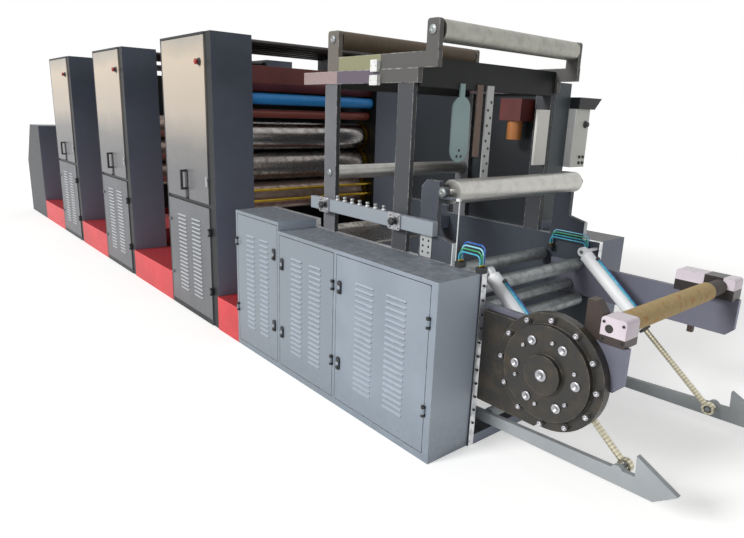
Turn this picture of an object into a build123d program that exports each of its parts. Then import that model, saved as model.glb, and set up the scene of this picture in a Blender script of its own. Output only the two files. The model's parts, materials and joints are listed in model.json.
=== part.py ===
from build123d import *
import math
import os

# In-line web printing press with its unwind stand, in millimetres.
# X runs along the paper web and ends at the unwind stand, Y runs across the press towards
# the drive side, and Z is up. The origin is on the floor, on the centre line of the press,
# under the end sill that stands at the unwind end of the infeed unit.

# Across the press
press_width = 1954.0
housing_depth = 345.0
frame_plate = 40.0
web_space = press_width - 2 * housing_depth
inner_y = web_space / 2
outer_y = press_width / 2
seat_gap = 0.3

# Sheet metal covers
sheet = 4.0
door_thick = 20.0
door_gap = 5.0
door_overlap = 20.0
plinth_height = 40.0
head_height = 22.0

# Louvres of the lower doors: columns and rows as shares of the door, then the pressed hood
louvre_columns = [(0.24, 0.44), (0.58, 0.78)]
louvre_low = 0.15
louvre_high = 0.85
louvre_rows = 20
louvre_hood = 11.0
louvre_proud = 6.0
louvre_slot = 5.0

# Infeed unit, the low unit that the unwind stand is bolted to
infeed_height = 983.0
infeed_rear_height = 1040.0
infeed_length = 2071.0
infeed_step_x = 1476.0
frame_end_reach = 12.0
drive_end_setback = 100.0
end_pillar = 45.0
rear_pillar = 22.0
post_strip = 24.0
door_split_x = 836.0

# Cross beams between the side frames
sill_depth = 140.0
sill_height = 60.0
foot_beam_set = 60.0
foot_beam_depth = 120.0
foot_beam_height = 100.0
web_beam_depth = 80.0
web_beam_height = 100.0
web_beam_drop = 23.0

# Printing towers
tower_count = 3
tower_first_gap = 349.0
tower_first_x = infeed_length + tower_first_gap
tower_pitch = 1960.0
tower_length = 945.0
tower_height = 2300.0
tower_seam_z = 985.0
tower_pillar = 100.0
tower_rear_edge = 16.0
pillar_setback = 8.0

# Delivery unit at the far end
delivery_gap = 1090.0
delivery_length = 1000.0
delivery_height = 1400.0
delivery_shelf_depth = 420.0
delivery_shelf_height = 820.0
table_set = 120.0
table_drop = 500.0
table_fall = 290.0
table_thick = 30.0
table_roller_x = 180.0
table_roller_drop = 220.0
table_roller_radius = 60.0

# Steps between the units
step_height = 280.0
step_sheet = 6.0

# Door hardware
pin_radius = 5.0
pin_clear = 0.06
knuckle_radius = 10.0
knuckle_length = 30.0
leaf_width = 26.0
leaf_thick = 3.0
strap_width = 42.0
knuckle_play = 1.0
hinge_low = 0.27
hinge_high = 0.79
latch_radius = 13.0
latch_proud = 14.0
latch_set = 40.0

# Loop handles of the upper tower doors
handle_height = 165.0
handle_bar = 18.0
handle_reach = 55.0
handle_z = 1170.0

# Gantry over the infeed unit, its beams counted down from the top of its ears
upright_thick = 30.0
upright_width = 125.0
upright_rear_x = 1400.0
upright_front_x = 700.0
top_ear_height = 2246.0
ear_rise = 158.0
top_beam_height = 84.0
low_beam_height = 76.0
top_beam_z = top_ear_height - ear_rise - top_beam_height
low_beam_z = top_beam_z - low_beam_height
low_beam_rear = 1640.0
low_beam_front = 540.0
low_beam_thick = 36.0
top_beam_front = 400.0
rear_ear_width = 111.0
front_ear_width = 90.0
ear_corner = 18.0
cross_beam_depth = 90.0
cross_beam_height = 155.0
cross_beam_low = low_beam_z - 16.0
cross_beam_x = 650.0
rear_beam_height = 100.0

# Web rollers: distance behind the unwind end, height, radius, gap between face and side plate
web_rollers = {
    "top_roller": (448.0, top_ear_height - 56.0, 58.0, 12.0),
    "felt_roller": (1322.0, top_ear_height - 51.0, 56.0, 12.0),
    "mid_roller": (1337.0, infeed_height + 387.0, 48.0, 12.0),
    "infeed_roller": (310.0, infeed_height + 379.0, 66.0, 40.0),
}
guide_radius = 42.0
guide_places = [(490.0, 840.0), (210.0, 820.0), (270.0, 670.0), (180.0, 585.0)]
roller_end_gap = 12.0
journal_radius = 14.0
journal_clear = 0.06

# Stands of the infeed roller, with the rail along the operator side
stand_rear = 470.0
stand_front = 338.0
stand_rise = 437.0
stand_slant = 40.0
stand_foot_front = 210.0
stand_foot_rise = 115.0
stand_foot_slant = 30.0
stand_lug = 28.0
tie_rod_x = 197.0
tie_rod_radius = 3.5
tie_rod_tab = 15.0
rail_rear = 1500.0
rail_front = 330.0
rail_rise = 137.0
rail_height = 80.0
rail_thick = 38.0

# Cylinder train of a tower, one above the other
cylinder_pitch = 248.0
cylinder_radius = 120.0
cylinder_count = 3
plate_cylinder_drop = 760.0
plate_cylinder_z = tower_height - plate_cylinder_drop
train_behind = 215.0
cylinder_set = 32.0
cylinder_face = 1168.0
gear_teeth = 32
gear_width = 40.0
gear_gap = 14.0
tooth_height = 14.0
tooth_clear = 1.6
tooth_flank = 0.19
cylinder_journal = 40.0

# Ink rollers: distance behind the tower end, drop from the tower top, radius
ink_rollers = {
    "ink_roller_blue": (80.0, 460.0, 44.0),
    "ink_roller_red": (115.0, 575.0, 34.0),
    "ink_roller_upper": (140.0, 280.0, 50.0),
}

# Ink duct around the upper ink roller: half widths and drops from the tower top
duct_lip = 90.0
duct_back = 190.0
duct_floor = 40.0
duct_top = tower_height - 210.0
duct_bend = tower_height - 340.0
duct_low = tower_height - 400.0
duct_wall = 12.0

# Bars that lead the web into the first tower: drops below the plate cylinder
web_bar_x = 55.0
web_bar_drops = [430.0, 520.0]
web_bar_radius = 12.0

# Tie bars across the top of a tower
tie_radius = 18.0
tie_count = 6
tie_inset = 70.0
tie_top = tower_height - 38.0

# Guard sheet behind the cylinders of a tower
guard_behind = 600.0
guard_low = 600.0
guard_top = tower_height - 220.0

# Unwind stand
arm_plate = 30.0
arm_low = 610.0
arm_high = 825.0
arm_rear = 420.0
arm_front = 790.0
arm_chamfer = 40.0
guide_hole_clear = 8.0
shaft_x = 700.0
shaft_z = 895.0
core_radius = 50.0
core_start = -526.0
core_end = 360.0
chuck_radius = 42.0
shaft_radius = 19.0
bearing_rear = 40.0
bearing_front = 78.0
bearing_rear_drive = 240.0
bearing_thick = 110.0
bearing_out = 10.0
bearing_top = 948.0
bracket_length = 80.0
bracket_thick = 60.0
bracket_top = 1000.0
foot_x = 545.0
foot_width = 30.0
foot_height = 40.0

# Round housing and the bracket plate that carries it
disc_x = 455.0
disc_z = 612.0
disc_radius = 285.0
disc_thick = 50.0
disc_step_radius = 232.0
disc_step = 30.0
disc_hub_radius = 95.0
disc_hub = 26.0
boss_count = 12
boss_circle = 260.0
boss_radius = 16.0
boss_height = 12.0
bracket_plate = 30.0
bracket_plate_rear = 35.0
bracket_plate_front = 400.0
bracket_plate_low = 300.0
bracket_plate_high = 800.0

# Lift arms and their cylinders
lift_gap = 50.0
lift_plate = 30.0
lift_root_x = -150.0
lift_root_z = 150.0
lift_slope = 3.47
lift_top_rise = 12.0
lift_sole_root = 45.0
lift_sole_end = 70.0
lift_eye_boss = 30.0
lift_eye_reach = 936.6
lift_pin_radius = 16.0
lift_boss_radius = 48.0
hook_foot = 1023.0
hook_rise = 114.0
hook_tip = 1212.0
hook_sole = 1110.0
torsion_along = 170.0
torsion_radius = 30.0
pin_end = 6.0
ram_gap = 12.0
ram_top_x = -105.0
ram_top_z = 940.0
barrel_radius = 42.0
barrel_length = 600.0
ram_rod_radius = 16.0
ram_pin_radius = 12.0
ram_eye_radius = 30.0
ram_eye_width = 34.0
ram_neck = 24.0
rod_eye_radius = 34.0
open_clear = 9.0
gland_clear = 0.06
rod_inside = 160.0
barrel_bore_start = 70.0

# Hanging pieces on the gantry
hanger_width = 40.0
hanger_drop = 70.0
hang_lap = 30.0
plate_width, plate_height, plate_thick = 150.0, 380.0, 10.0
plate_y = -290.0
strip_width, strip_height = 62.0, 550.0
strip_y = -40.0
flat_width, flat_height = 50.0, 420.0
flat_y = -135.0

# Tall housing on the drive side, with the control box and its hood
drive_housing_front = 575.0
drive_housing_y = 860.0
box_x = 635.0
box_width, box_depth, box_height = 180.0, 120.0, 405.0
box_low = top_beam_z - 574.0
box_corner = 8.0
hood_lip = 20.0
hood_height = 78.0
hood_reach = 200.0
hood_nose = 80.0

# Motor of the web guide, on the inner face of the tall housing
motor_x = 900.0
motor_width, motor_height = 180.0, 150.0
motor_y = 500.0
motor_z = top_beam_z - 264.0
motor_can_radius = 52.0
motor_can_height = 130.0
cover_x = 595.0
cover_thick = 20.0
cover_width = 130.0
cover_low = top_beam_z - 554.0
cover_high = top_beam_z - 184.0

# Web tray between the side frames
tray_rear = 1350.0
tray_front = 950.0
tray_z = 960.0
tray_sheet = 3.0
tray_bend = 150.0
tray_lip = 92.0
tray_width = 462.0
tray_flange = 40.0

# Air hoses between pairs of manifold blocks: first and second block, side of the press
hose_radius = 4.5
hose_pitch = 10.5
hose_count = 4
hose_bend = 30.0
hose_rise = 60.0
hose_rise_step = 16.0
manifold_length = 40.0
manifold_height = 30.0
manifold_margin = 8.0
near_manifolds = (180.0, 35.0)
far_manifolds = (455.0, 185.0)
far_manifold_z = 880.0


def block(x0, x1, y0, y1, z0, z1):
    """Box between two corners, given in any order."""
    size = (abs(x1 - x0), abs(y1 - y0), abs(z1 - z0))
    return Pos((x0 + x1) / 2, (y0 + y1) / 2, (z0 + z1) / 2) * Box(*size)


def bar_y(x, z, radius, y0, y1):
    """Round bar across the press."""
    place = Pos(x, (y0 + y1) / 2, z) * Rot(90, 0, 0)
    return place * Cylinder(radius, abs(y1 - y0))


def bar_z(x, y, radius, z0, z1):
    """Upright round bar."""
    return Pos(x, y, (z0 + z1) / 2) * Cylinder(radius, abs(z1 - z0))


def plate_y_from(points, y0, y1):
    """Flat plate cut from an outline in X and Z, standing between two Y planes."""
    outline = Polyline([(x, -z) for x, z in points], close=True)
    face = make_face(outline)
    upright = Pos(0, min(y0, y1), 0) * Rot(-90, 0, 0)
    return upright * extrude(face, amount=abs(y1 - y0), dir=(0, 0, 1))


def plate_x_from(points, x0, x1):
    """Flat plate cut from an outline in Y and Z, between two X planes."""
    face = Plane.YZ.offset(min(x0, x1)) * make_face(Polyline(points, close=True))
    return extrude(face, amount=abs(x1 - x0), dir=(1, 0, 0))


def other_side(piece):
    """The same piece on the opposite side of the press."""
    return mirror(piece, about=Plane.XZ)


def door_spans():
    """X ranges of the three openings in the infeed cabinet, from the unwind end."""
    half = post_strip / 2
    return [
        (-door_split_x + half, -end_pillar),
        (-infeed_step_x + half, -door_split_x - half),
        (-infeed_length + rear_pillar, -infeed_step_x - half),
    ]


def tower_end(index):
    """X of the unwind end of a tower."""
    return -tower_first_x - index * tower_pitch


def tower_door_span(index):
    end = tower_end(index)
    return end - tower_length + tower_rear_edge, end - tower_pillar


def delivery_end():
    return tower_end(tower_count - 1) - tower_length - delivery_gap


# Infeed unit

def infeed_outline(near_end, extra):
    """Side outline of the infeed unit, with its higher rear part."""
    return [
        (-infeed_length, 0), (near_end + extra, 0), (near_end + extra, infeed_height),
        (-infeed_step_x, infeed_height), (-infeed_step_x, infeed_rear_height),
        (-infeed_length, infeed_rear_height),
    ]


def infeed_frame(near_end):
    points = infeed_outline(near_end, frame_end_reach)
    plate = plate_y_from(points, -inner_y - frame_plate, -inner_y)
    holes = [(-x, z) for x, z in guide_places]
    for x, z in holes:
        plate -= bar_y(x, z, journal_radius + journal_clear, -inner_y - frame_plate, -inner_y)
    return plate


def infeed_side_frames():
    return [infeed_frame(0.0), other_side(infeed_frame(-drive_end_setback))]


def infeed_cabinet(near_end, doors_open):
    """Sheet metal cover on the outside of a side frame, with pockets behind its doors."""
    back = -inner_y - frame_plate
    cover = plate_y_from(infeed_outline(near_end, 0.0), -outer_y, back)
    for low_x, high_x in door_spans():
        top = infeed_rear_height if low_x < -infeed_step_x else infeed_height
        high_x = min(high_x, near_end - end_pillar)
        cover -= block(low_x, high_x, -outer_y, -outer_y + door_thick + door_gap,
                       plinth_height, top - head_height)
        if doors_open:
            cover -= block(low_x + door_overlap, high_x - door_overlap, -outer_y, back,
                           plinth_height + door_overlap, top - head_height - door_overlap)
    return cover


def infeed_cabinet_operator():
    return infeed_cabinet(0.0, True)


def infeed_cabinet_drive():
    near_end = -drive_end_setback
    cover = infeed_cabinet(near_end, False)
    for low_x, high_x in door_spans():
        top = infeed_rear_height if low_x < -infeed_step_x else infeed_height
        high_x = min(high_x, near_end - end_pillar)
        cover += fixed_panel(low_x, high_x, plinth_height, top - head_height)
    return other_side(cover)


def fixed_panel(low_x, high_x, low_z, high_z):
    """Closed door that stays shut, seated on the floor of its recess."""
    return block(low_x + door_gap, high_x - door_gap, -outer_y,
                 -outer_y + door_thick + door_gap, low_z + door_gap, high_z - door_gap)


# Doors with their hinges

def hinge_heights(low_z, high_z):
    span = high_z - low_z
    return [low_z + hinge_low * span, low_z + hinge_high * span]


def hinge_x(low_x, high_x, side):
    """Pin axis of a door that hangs on its side, +1 for the unwind end."""
    return high_x - door_gap / 2 if side > 0 else low_x + door_gap / 2


def hinge_y():
    return -outer_y - knuckle_radius


def louvres(low_x, high_x, low_z, high_z):
    """Pressed hoods of a door and the slots that open under them."""
    width = high_x - low_x
    height = high_z - low_z
    pitch = (louvre_high - louvre_low) * height / (louvre_rows - 1)
    hoods = []
    slots = []
    for start, end in louvre_columns:
        x0 = low_x + start * width
        x1 = low_x + end * width
        for row in range(louvre_rows):
            z = low_z + louvre_low * height + row * pitch
            outline = [(-outer_y, z), (-outer_y - louvre_proud, z), (-outer_y, z + louvre_hood)]
            hoods.append(plate_x_from(outline, x0, x1))
            slots.append(block(x0, x1, -outer_y, -outer_y + sheet, z - louvre_slot, z))
    return hoods, slots


def swing_door(low_x, high_x, low_z, high_z, side):
    """Door leaf with the middle knuckle of each hinge and its latches."""
    leaf = block(low_x + door_gap, high_x - door_gap, -outer_y, -outer_y + door_thick,
                 low_z + door_gap, high_z - door_gap)
    inside = block(low_x + door_gap + sheet, high_x - door_gap - sheet,
                   -outer_y + sheet, -outer_y + door_thick,
                   low_z + door_gap + sheet, high_z - door_gap - sheet)
    leaf -= inside
    hoods, slots = louvres(low_x, high_x, low_z, high_z)
    leaf = leaf + hoods - slots
    x = hinge_x(low_x, high_x, side)
    free_x = low_x + latch_set if side > 0 else high_x - latch_set
    for z in hinge_heights(low_z, high_z):
        half = knuckle_length / 2
        strap = block(x, x - side * strap_width, -outer_y - leaf_thick, -outer_y,
                      z - half, z + half)
        knuckle = bar_z(x, hinge_y(), knuckle_radius, z - half, z + half)
        bore = bar_z(x, hinge_y(), pin_radius + pin_clear, z - half, z + half)
        leaf += strap + knuckle
        leaf -= bore
        leaf += bar_y(free_x, z, latch_radius, -outer_y - latch_proud, -outer_y)
    return leaf


def fixed_hinge(x, z, side, post_y):
    """Pin with its two fixed knuckles and the leaf screwed to the post."""
    half = knuckle_length / 2 + knuckle_play
    reach = knuckle_length / 2
    leaf = block(x, x + side * leaf_width / 2, -outer_y - leaf_thick, post_y,
                 z - half - reach, z + half + reach)
    leaf -= block(x - leaf_width / 2, x + leaf_width / 2, -outer_y - leaf_thick,
                  post_y, z - half, z + half)
    hinge = leaf + bar_z(x, hinge_y(), pin_radius, z - half, z + half)
    for low in (z - half - reach, z + half):
        hinge += bar_z(x, hinge_y(), knuckle_radius, low, low + reach)
    return hinge


def door_table():
    """Every door that opens: name, X range, Z range and hinge side."""
    rows = []
    sides = [1, 1, -1]
    for number, (span, side) in enumerate(zip(door_spans(), sides), start=1):
        top = infeed_rear_height if span[0] < -infeed_step_x else infeed_height
        rows.append(("infeed_door_%d" % number, span, (plinth_height, top - head_height), side))
    for index in range(tower_count):
        span = tower_door_span(index)
        heights = (plinth_height, tower_seam_z)
        rows.append(("tower_%d_lower_door" % (index + 1), span, heights, 1))
    return rows


def door_hinges():
    pieces = []
    for name, (low_x, high_x), (low_z, high_z), side in door_table():
        x = hinge_x(low_x, high_x, side)
        post_y = -outer_y + (pillar_setback if name.startswith("tower") else 0.0)
        for z in hinge_heights(low_z, high_z):
            pieces.append(fixed_hinge(x, z, side, post_y))
    return pieces


# Towers

def tower_body(index):
    """Side housing of a tower on the operator side."""
    end = tower_end(index)
    body = block(end - tower_length, end, -outer_y, -inner_y, 0, tower_height)
    body -= block(end - tower_pillar, end, -outer_y, -outer_y + pillar_setback, 0, tower_height)
    low_x, high_x = tower_door_span(index)
    body -= block(low_x, high_x, -outer_y, -outer_y + door_thick + door_gap,
                  plinth_height, tower_height - tower_rear_edge)
    return body


def tower_operator(index):
    body = tower_body(index)
    low_x, high_x = tower_door_span(index)
    body += block(low_x, high_x, -outer_y + pillar_setback, -outer_y + door_thick + door_gap,
                  tower_seam_z, tower_seam_z + head_height)
    body -= block(low_x + door_overlap, high_x - door_overlap, -outer_y, -inner_y - frame_plate,
                  plinth_height + door_overlap, tower_seam_z - door_overlap)
    return body


def tower_drives():
    """Side housings of the towers on the drive side, with closed doors."""
    bodies = []
    for index in range(tower_count):
        body = tower_body(index)
        low_x, high_x = tower_door_span(index)
        body += fixed_panel(low_x, high_x, plinth_height, tower_seam_z)
        body += fixed_panel(low_x, high_x, tower_seam_z, tower_height - tower_rear_edge)
        bodies.append(other_side(body))
    return bodies


def tower_upper_doors():
    """Upper covers, seated on the floor of the recess above the seam."""
    panels = []
    for index in range(tower_count):
        low_x, high_x = tower_door_span(index)
        panels.append(fixed_panel(low_x, high_x, tower_seam_z + head_height,
                                  tower_height - tower_rear_edge))
    return panels


def door_handles():
    """Loop handles on the upper covers."""
    loops = []
    for index in range(tower_count):
        low_x, high_x = tower_door_span(index)
        x = (low_x + high_x) / 2
        half = handle_height / 2
        loop = block(x - handle_bar / 2, x + handle_bar / 2, -outer_y - handle_reach, -outer_y,
                     handle_z - half, handle_z + half)
        loop -= block(x - handle_bar, x + handle_bar, -outer_y - handle_reach + handle_bar,
                      -outer_y, handle_z - half + handle_bar, handle_z + half - handle_bar)
        loops.append(loop)
    return loops


def foot_beam(x):
    """Box beam on the floor between the two sides of a unit."""
    return block(x, x + foot_beam_depth, -inner_y, inner_y, 0, foot_beam_height)


def tower_tie_bars():
    """Round bars across the top and two beams across the foot of each tower."""
    bars = []
    spread = tower_length - 2 * tie_inset
    for index in range(tower_count):
        end = tower_end(index)
        for number in range(tie_count):
            x = end - tie_inset - number * spread / (tie_count - 1)
            bars.append(bar_y(x, tie_top, tie_radius, -inner_y, inner_y))
        bars.append(foot_beam(end - tower_length + foot_beam_set))
        bars.append(foot_beam(end - foot_beam_set - foot_beam_depth))
    return bars


def tower_guards():
    """Sheets that close the inside of each tower behind its cylinders."""
    guards = []
    for index in range(tower_count):
        x = tower_end(index) - guard_behind
        guards.append(block(x - sheet, x, -inner_y, inner_y, guard_low, guard_top))
    return guards


# Printing cylinders and rollers

def gear_outline(radius, phase):
    """Corner points of a spur gear with straight-sided teeth, about its centre."""
    outer = radius + tooth_height / 2 - tooth_clear
    inner = radius - tooth_height / 2 - tooth_clear
    pitch = 2 * math.pi / gear_teeth
    points = []
    for tooth in range(gear_teeth):
        middle = (tooth + phase) * pitch
        for part, reach in ((-0.5 + tooth_flank, inner), (-0.14, outer), (0.14, outer),
                            (0.5 - tooth_flank, inner)):
            angle = middle + part * pitch * 0.9
            points.append((reach * math.cos(angle), reach * math.sin(angle)))
    return points


def cylinder_place(level):
    """X and Z of a cylinder axis, counted from the plate cylinder down."""
    return tower_end(0) - train_behind, plate_cylinder_z - level * cylinder_pitch


def cylinder_at(x, z):
    """Cylinder with its two journals."""
    start = -inner_y + cylinder_set
    body = bar_y(x, z, cylinder_radius, start, start + cylinder_face)
    journal = bar_y(x, z, cylinder_journal, -inner_y + seat_gap, inner_y - seat_gap)
    return body + journal


def geared_cylinder(level):
    """Cylinder of the first tower with its drive gear."""
    x, z = cylinder_place(level)
    start = -inner_y + cylinder_set + cylinder_face + gear_gap
    phase = 0.5 if level % 2 else 0.0
    corners = [(x + u, z + v) for u, v in gear_outline(cylinder_pitch / 2, phase)]
    gear = plate_y_from(corners, start, start + gear_width)
    return cylinder_at(x, z) + gear


def ink_roller(name):
    behind, drop, radius = ink_rollers[name]
    x = tower_end(0) - behind
    z = tower_height - drop
    roller = bar_y(x, z, radius, -inner_y + roller_end_gap, inner_y - roller_end_gap)
    return roller + bar_y(x, z, journal_radius, -inner_y + seat_gap, inner_y - seat_gap)


def inner_cylinders():
    """Cylinder trains of the towers whose inside is hidden."""
    pieces = []
    for index in range(1, tower_count):
        for level in range(cylinder_count):
            x = tower_end(index) - train_behind
            z = plate_cylinder_z - level * cylinder_pitch
            body = bar_y(x, z, cylinder_radius, -inner_y + roller_end_gap,
                         inner_y - roller_end_gap)
            pieces.append(body + bar_y(x, z, cylinder_journal, -inner_y, inner_y))
    return pieces


def ink_duct():
    """Trough around the upper ink roller of the first tower."""
    x = tower_end(0) - ink_rollers["ink_roller_upper"][0]
    w = duct_wall
    outside = [(x + duct_lip, duct_top), (x + duct_lip, duct_bend), (x + duct_floor, duct_low),
               (x - duct_floor, duct_low), (x - duct_back, duct_bend), (x - duct_back, duct_top)]
    inside = [(x + duct_lip - w, duct_top), (x + duct_lip - w, duct_bend + w / 2),
              (x + duct_floor - w / 3, duct_low + w), (x - duct_floor + w / 3, duct_low + w),
              (x - duct_back + w, duct_bend + w / 2), (x - duct_back + w, duct_top)]
    trough = plate_y_from(outside, -inner_y, inner_y)
    return trough - plate_y_from(inside, -inner_y, inner_y)


def web_bars():
    """Two bars that lead the web into the first tower."""
    x = tower_end(0) - web_bar_x
    heights = [plate_cylinder_z - drop for drop in web_bar_drops]
    return [bar_y(x, z, web_bar_radius, -inner_y, inner_y) for z in heights]


def web_roller(name):
    """Roller of the gantry or its stands, with journals that turn in the side plates."""
    behind, z, radius, end_gap = web_rollers[name]
    face = inner_y - end_gap
    end = inner_y + upright_thick
    return bar_y(-behind, z, radius, -face, face) + bar_y(-behind, z, journal_radius, -end, end)


def guide_roller(behind, z):
    """Thin roller between the unwind arms, with journals in the side frames."""
    face = inner_y - arm_plate - roller_end_gap
    roller = bar_y(-behind, z, guide_radius, -face, face)
    end = inner_y + frame_plate
    return roller + bar_y(-behind, z, journal_radius, -end, end)


# Gantry

def roller_bore(name):
    """Bore of a web roller through the operator side plate of the gantry."""
    behind, z = web_rollers[name][:2]
    return bar_y(-behind, z, journal_radius + journal_clear, -inner_y - upright_thick, -inner_y)


def ear(behind, width):
    """Upright ear with rounded corners that holds a roller over the top beam."""
    x0 = -behind - width / 2
    plate = block(x0, x0 + width, -inner_y - upright_thick, -inner_y, top_beam_z, top_ear_height)
    corners = plate.edges().filter_by(Axis.Y).group_by(Axis.Z)[-1]
    return fillet(corners, ear_corner)


def gantry_side():
    """Uprights, beams and ears of the operator side."""
    y0 = -inner_y - upright_thick
    side = block(-low_beam_rear, -low_beam_front, -inner_y - low_beam_thick, -inner_y,
                 low_beam_z, top_beam_z)
    for behind in (upright_rear_x, upright_front_x):
        side += block(-behind, -behind + upright_width, y0, -inner_y, infeed_height, low_beam_z)
    rear = web_rollers["felt_roller"][0]
    front = web_rollers["top_roller"][0]
    side += block(-rear - rear_ear_width / 2, -top_beam_front, y0, -inner_y,
                  top_beam_z, top_beam_z + top_beam_height)
    side += ear(rear, rear_ear_width) + ear(front, front_ear_width)
    for name in ("top_roller", "felt_roller", "mid_roller"):
        side -= roller_bore(name)
    return side


def gantry_uprights():
    side = gantry_side()
    return [side, other_side(side)]


def roller_stand():
    """Post on a broader foot, with the bearing lug of the infeed roller."""
    y0 = -inner_y - upright_thick
    behind, z = web_rollers["infeed_roller"][:2]
    top = infeed_height + stand_rise
    foot = infeed_height + stand_foot_rise
    points = [(-stand_rear, infeed_height), (-stand_foot_front, infeed_height),
              (-stand_foot_front, foot), (-stand_front, foot + stand_foot_slant),
              (-stand_front, top), (-stand_rear + stand_slant, top),
              (-stand_rear, top - stand_slant)]
    stand = plate_y_from(points, y0, -inner_y)
    stand += block(-stand_front, -behind, y0, -inner_y, z - stand_lug, z + stand_lug)
    stand += bar_y(-behind, z, stand_lug, y0, -inner_y)
    return stand - roller_bore("infeed_roller")


def side_rail():
    """Rail along the operator side, outside the gantry."""
    face = -inner_y - upright_thick
    low = infeed_height + rail_rise
    return block(-rail_rear, -rail_front, face - rail_thick, face, low, low + rail_height)


def tie_rod():
    """Thin rod beside the operator side stand, with the tab that holds its top."""
    y = -inner_y - upright_thick / 2
    z = web_rollers["infeed_roller"][1] - stand_lug
    half = tie_rod_tab / 2
    tab = block(-stand_front, -tie_rod_x + half, y - half, y + half, z - half, z + half)
    return tab + bar_z(-tie_rod_x, y, tie_rod_radius, infeed_height, z)


def roller_stands():
    stand = roller_stand()
    return [stand + side_rail() + tie_rod(), other_side(stand)]


def gantry_cross_beam():
    """Box beams across the front and the rear of the gantry."""
    front = block(-cross_beam_x, -cross_beam_x + cross_beam_depth, -inner_y, inner_y,
                  cross_beam_low, cross_beam_low + cross_beam_height)
    rear = block(-upright_rear_x, -upright_rear_x + cross_beam_depth, -inner_y, inner_y,
                 top_beam_z - rear_beam_height, top_beam_z)
    return [front, rear]


def hung_strip(y, width, height):
    """Flat strip that hangs on the front face of the cross beam."""
    face_x = -cross_beam_x + cross_beam_depth
    top = cross_beam_low + hang_lap
    return block(face_x, face_x + plate_thick, y - width / 2, y + width / 2, top - height, top)


def beam_plates():
    """Rounded plate on its hanger, drilled strip and flat bar on the cross beam."""
    middle = cross_beam_low + hang_lap - hanger_drop - plate_height / 2
    origin = (-cross_beam_x + cross_beam_depth, plate_y, middle)
    flat = Plane(origin=origin, x_dir=(0, 1, 0), z_dir=(1, 0, 0))
    plate = extrude(flat * SlotOverall(plate_height, plate_width, rotation=90), amount=plate_thick)
    plate += hung_strip(plate_y, hanger_width, hanger_drop + plate_width / 2)
    return [plate, hung_strip(strip_y, strip_width, strip_height),
            hung_strip(flat_y, flat_width, flat_height)]


# Drive side housing with what it carries

def drive_housing():
    """Tall closed housing over the drive side cabinet, with the hood over the control box."""
    top = top_beam_z
    points = [(-infeed_length, infeed_rear_height), (-infeed_step_x, infeed_rear_height),
              (-infeed_step_x, infeed_height), (-drive_housing_front, infeed_height),
              (-drive_housing_front, top), (-infeed_length, top)]
    housing = plate_y_from(points, inner_y + low_beam_thick, drive_housing_y)
    for low_x, high_x in door_spans()[1:]:
        low_z = infeed_rear_height if low_x < -infeed_step_x else infeed_height
        housing -= housing_seam(low_x, high_x, low_z + plinth_height, top - head_height)
    return housing + control_hood()


def housing_seam(low_x, high_x, low_z, high_z):
    """Joint line around a closed door on the outside of the tall housing."""
    y0 = drive_housing_y - door_gap
    ring = block(low_x, high_x, y0, drive_housing_y, low_z, high_z)
    return ring - block(low_x + door_gap, high_x - door_gap, y0, drive_housing_y,
                        low_z + door_gap, high_z - door_gap)


def control_hood():
    """Hood with a sloping nose over the control box."""
    x0 = -box_x - hood_lip
    low = box_low + box_height
    y = drive_housing_y
    outline = [(y, low), (y + hood_reach, low), (y + hood_reach + hood_nose, low + hood_height),
               (y, low + hood_height)]
    return plate_x_from(outline, x0, -box_x + box_depth + hood_lip)


def control_box():
    """Electrical box that is bolted to the drive side housing under its hood."""
    box = block(-box_x, -box_x + box_depth, drive_housing_y, drive_housing_y + box_width,
                box_low, box_low + box_height)
    return fillet(box.edges().filter_by(Axis.Z), box_corner)


def web_guide_motor():
    """Gear case with the motor of the web guide, and the cover plate in front of them."""
    case = block(-motor_x, -motor_x + motor_width, motor_y, inner_y + low_beam_thick,
                 motor_z, motor_z + motor_height)
    middle = (motor_y + inner_y) / 2
    can = bar_z(-motor_x + motor_width / 2, middle, motor_can_radius,
                motor_z - motor_can_height, motor_z)
    cover = block(-cover_x, -cover_x + cover_thick, inner_y - cover_width, inner_y,
                  cover_low, cover_high)
    return [case + can, cover]


def tray_curl(x, side):
    """Rolled end of the web tray, a part of a ring that rises from its floor."""
    y0 = -inner_y
    z = tray_z + tray_bend
    ring = bar_y(x, z, tray_bend, y0, y0 + tray_width)
    ring -= bar_y(x, z, tray_bend - tray_sheet, y0, y0 + tray_width)
    return ring & block(x, x + side * tray_lip, y0, y0 + tray_width, tray_z, z)


def web_tray():
    """Sheet tray under the gantry, hung by a flange on the operator side frame."""
    y0 = -inner_y
    tray = block(-tray_rear, -tray_front, y0, y0 + tray_width, tray_z, tray_z + tray_sheet)
    tray += tray_curl(-tray_rear, -1) + tray_curl(-tray_front, 1)
    return tray + block(-tray_rear, -tray_front, y0, y0 + tray_sheet, tray_z - tray_flange, tray_z)


# Air hoses

def hose_rows():
    """Distances of the hoses from the first one, across the press."""
    return [number * hose_pitch for number in range(hose_count)]


def hose(x0, x1, y, z, rise):
    """Hose that leaves one block upwards and comes down into the other."""
    path = FilletPolyline((x0, y, z), (x0, y, z + rise), (x1, y, z + rise), (x1, y, z),
                          radius=hose_bend)
    section = Plane(origin=(x0, y, z), z_dir=(0, 0, 1)) * Circle(hose_radius)
    return sweep(section, path=path)


def hose_bank(places, y, z):
    """Hoses side by side between two blocks, each one higher than the last."""
    x0 = -places[0] + manifold_length / 2
    x1 = -places[1] + manifold_length / 2
    hoses = []
    for number, across in enumerate(hose_rows()):
        rise = hose_rise + number * hose_rise_step
        hoses.append(hose(x0, x1, y + manifold_margin + across, z, rise))
    return hoses


def manifold_pair(places, y, z):
    """Two blocks that the ends of a bank of hoses are plugged into."""
    width = 2 * manifold_margin + hose_rows()[-1]
    return [block(-x, -x + manifold_length, y, y + width, z, z + manifold_height) for x in places]


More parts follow.
